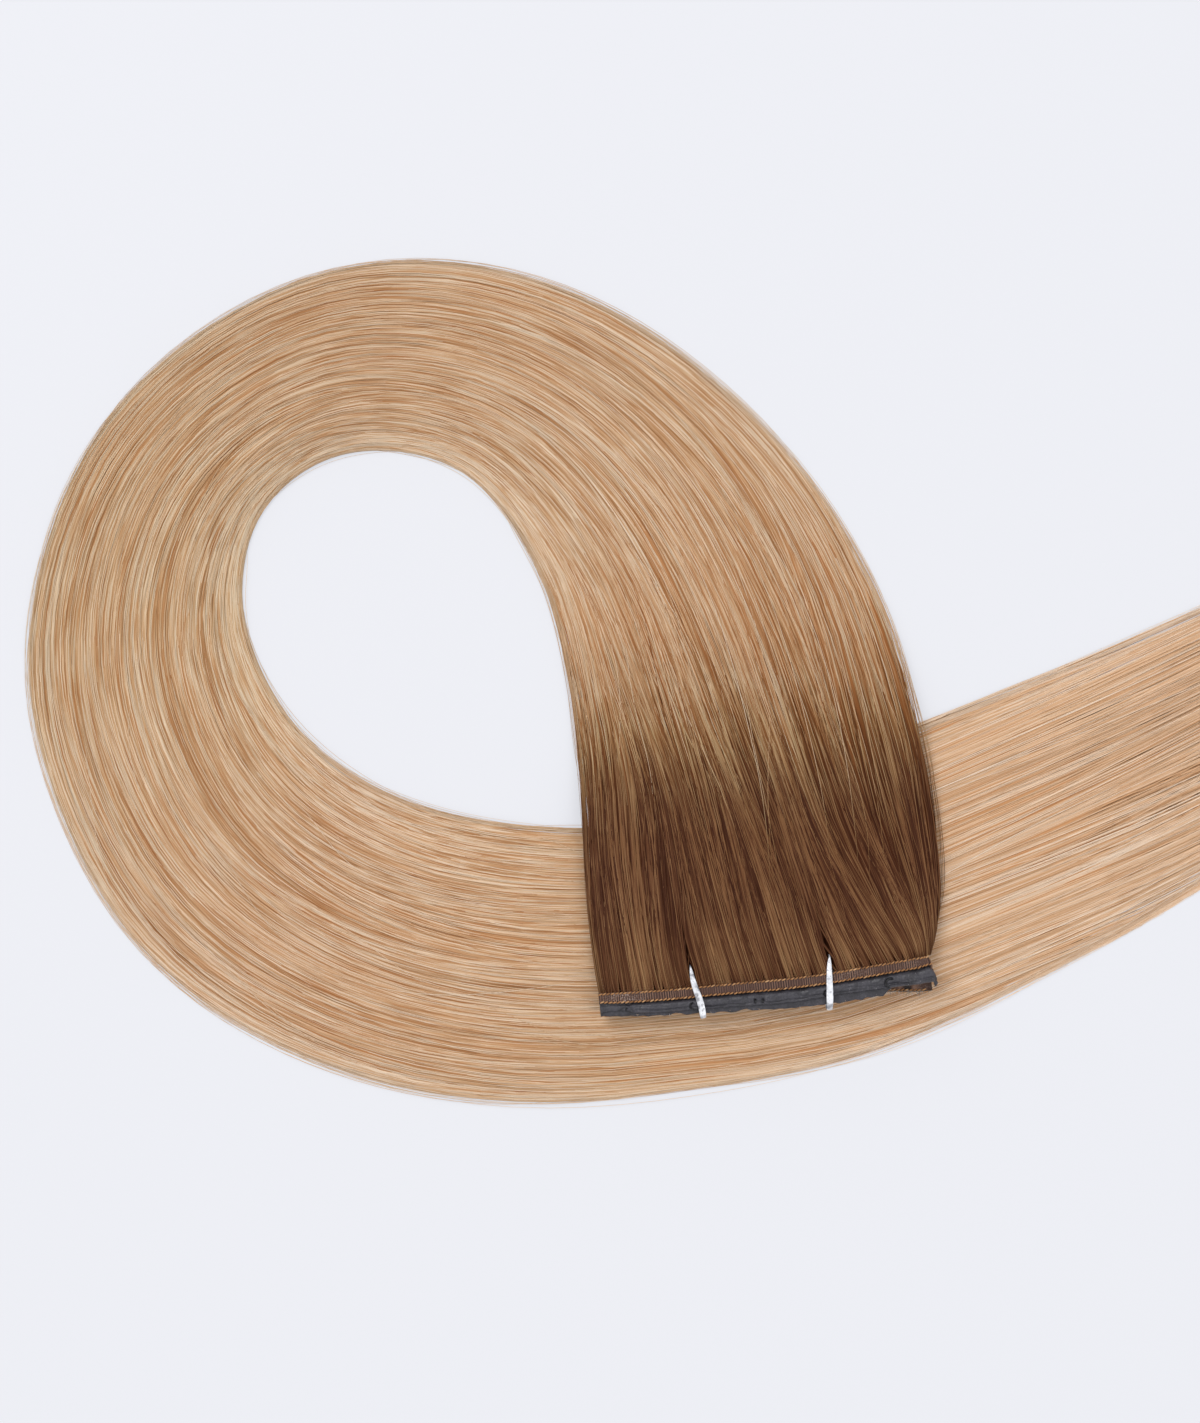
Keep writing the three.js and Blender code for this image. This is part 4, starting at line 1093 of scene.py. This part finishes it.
# ------------------------------------------------------------------ floor, light, camera
floor_mat = Mat("floor_paper")
fn = floor_mat.noise(floor_mat.place(), 3.0, 1.0)
floor_mat.link(floor_mat.ramp(fn, [(0.3, (0.329, 0.332, 0.347, 1)), (0.7, (0.333, 0.336, 0.351, 1))]), floor_mat.bsdf.inputs["Base Color"])
floor_mat.bsdf.inputs["Emission Color"].default_value = (0.475, 0.479, 0.506, 1)  # a lit table, which keeps shadows faint
floor_mat.bsdf.inputs["Emission Strength"].default_value = 1.0
floor_mat.bsdf.inputs["Roughness"].default_value = 0.9
floor_mat.bsdf.inputs["Specular IOR Level"].default_value = 0.1
floor = build_mesh("floor", np.array([(-3000, -3000, -0.1), (3000, -3000, -0.1), (3000, 3000, -0.1), (-3000, 3000, -0.1)]), [(0, 1, 2, 3)])
floor.data.materials.append(floor_mat.m)

world = bpy.data.worlds.new("studio")
bpy.context.scene.world = world
world.use_nodes = True
bg = world.node_tree.nodes["Background"]
bg.inputs["Color"].default_value = (0.97, 0.98, 1.0, 1)
bg.inputs["Strength"].default_value = 0.75


def area(name, loc, target, size, power, color=(1, 1, 1)):
    d = bpy.data.lights.new(name, "AREA")
    d.shape = "DISK"
    d.size = size
    d.energy = power
    d.color = color
    o = bpy.data.objects.new(name, d)
    o.location = loc
    o.rotation_euler = (Vector(target) - Vector(loc)).to_track_quat("-Z", "Y").to_euler()
    bpy.context.scene.collection.objects.link(o)
    return o


area("key", (-0.75, 0.75, 1.5), (-0.02, 0, 0), 1.1, 13.0)
area("fill", (0.9, -0.5, 1.6), (0, 0, 0), 1.4, 6.0)

PX = 0.2083 * MM
cam_data = bpy.data.cameras.new("camera")
cam = bpy.data.objects.new("camera", cam_data)
bpy.context.scene.collection.objects.link(cam)
CAM_H = 0.9
cam.location = ((600 - 787) * PX, (681.5 - 711.5) * PX, CAM_H)
cam.rotation_euler = (0, 0, 0)
cam_data.sensor_width = 36
cam_data.lens = 36 * (CAM_H - 0.005) / (1423 * PX)
cam_data.clip_start, cam_data.clip_end = 0.01, 20
bpy.context.scene.camera = cam
bpy.context.scene.view_settings.view_transform = "Standard"
bpy.context.scene.view_settings.look = "None"

bpy.context.view_layer.update()
for ob in hair_pieces + [seam, thread, strip, fuzz] + ties:
    ob.data.calc_loop_triangles()
    print("triangles", ob.name, len(ob.data.loop_triangles))
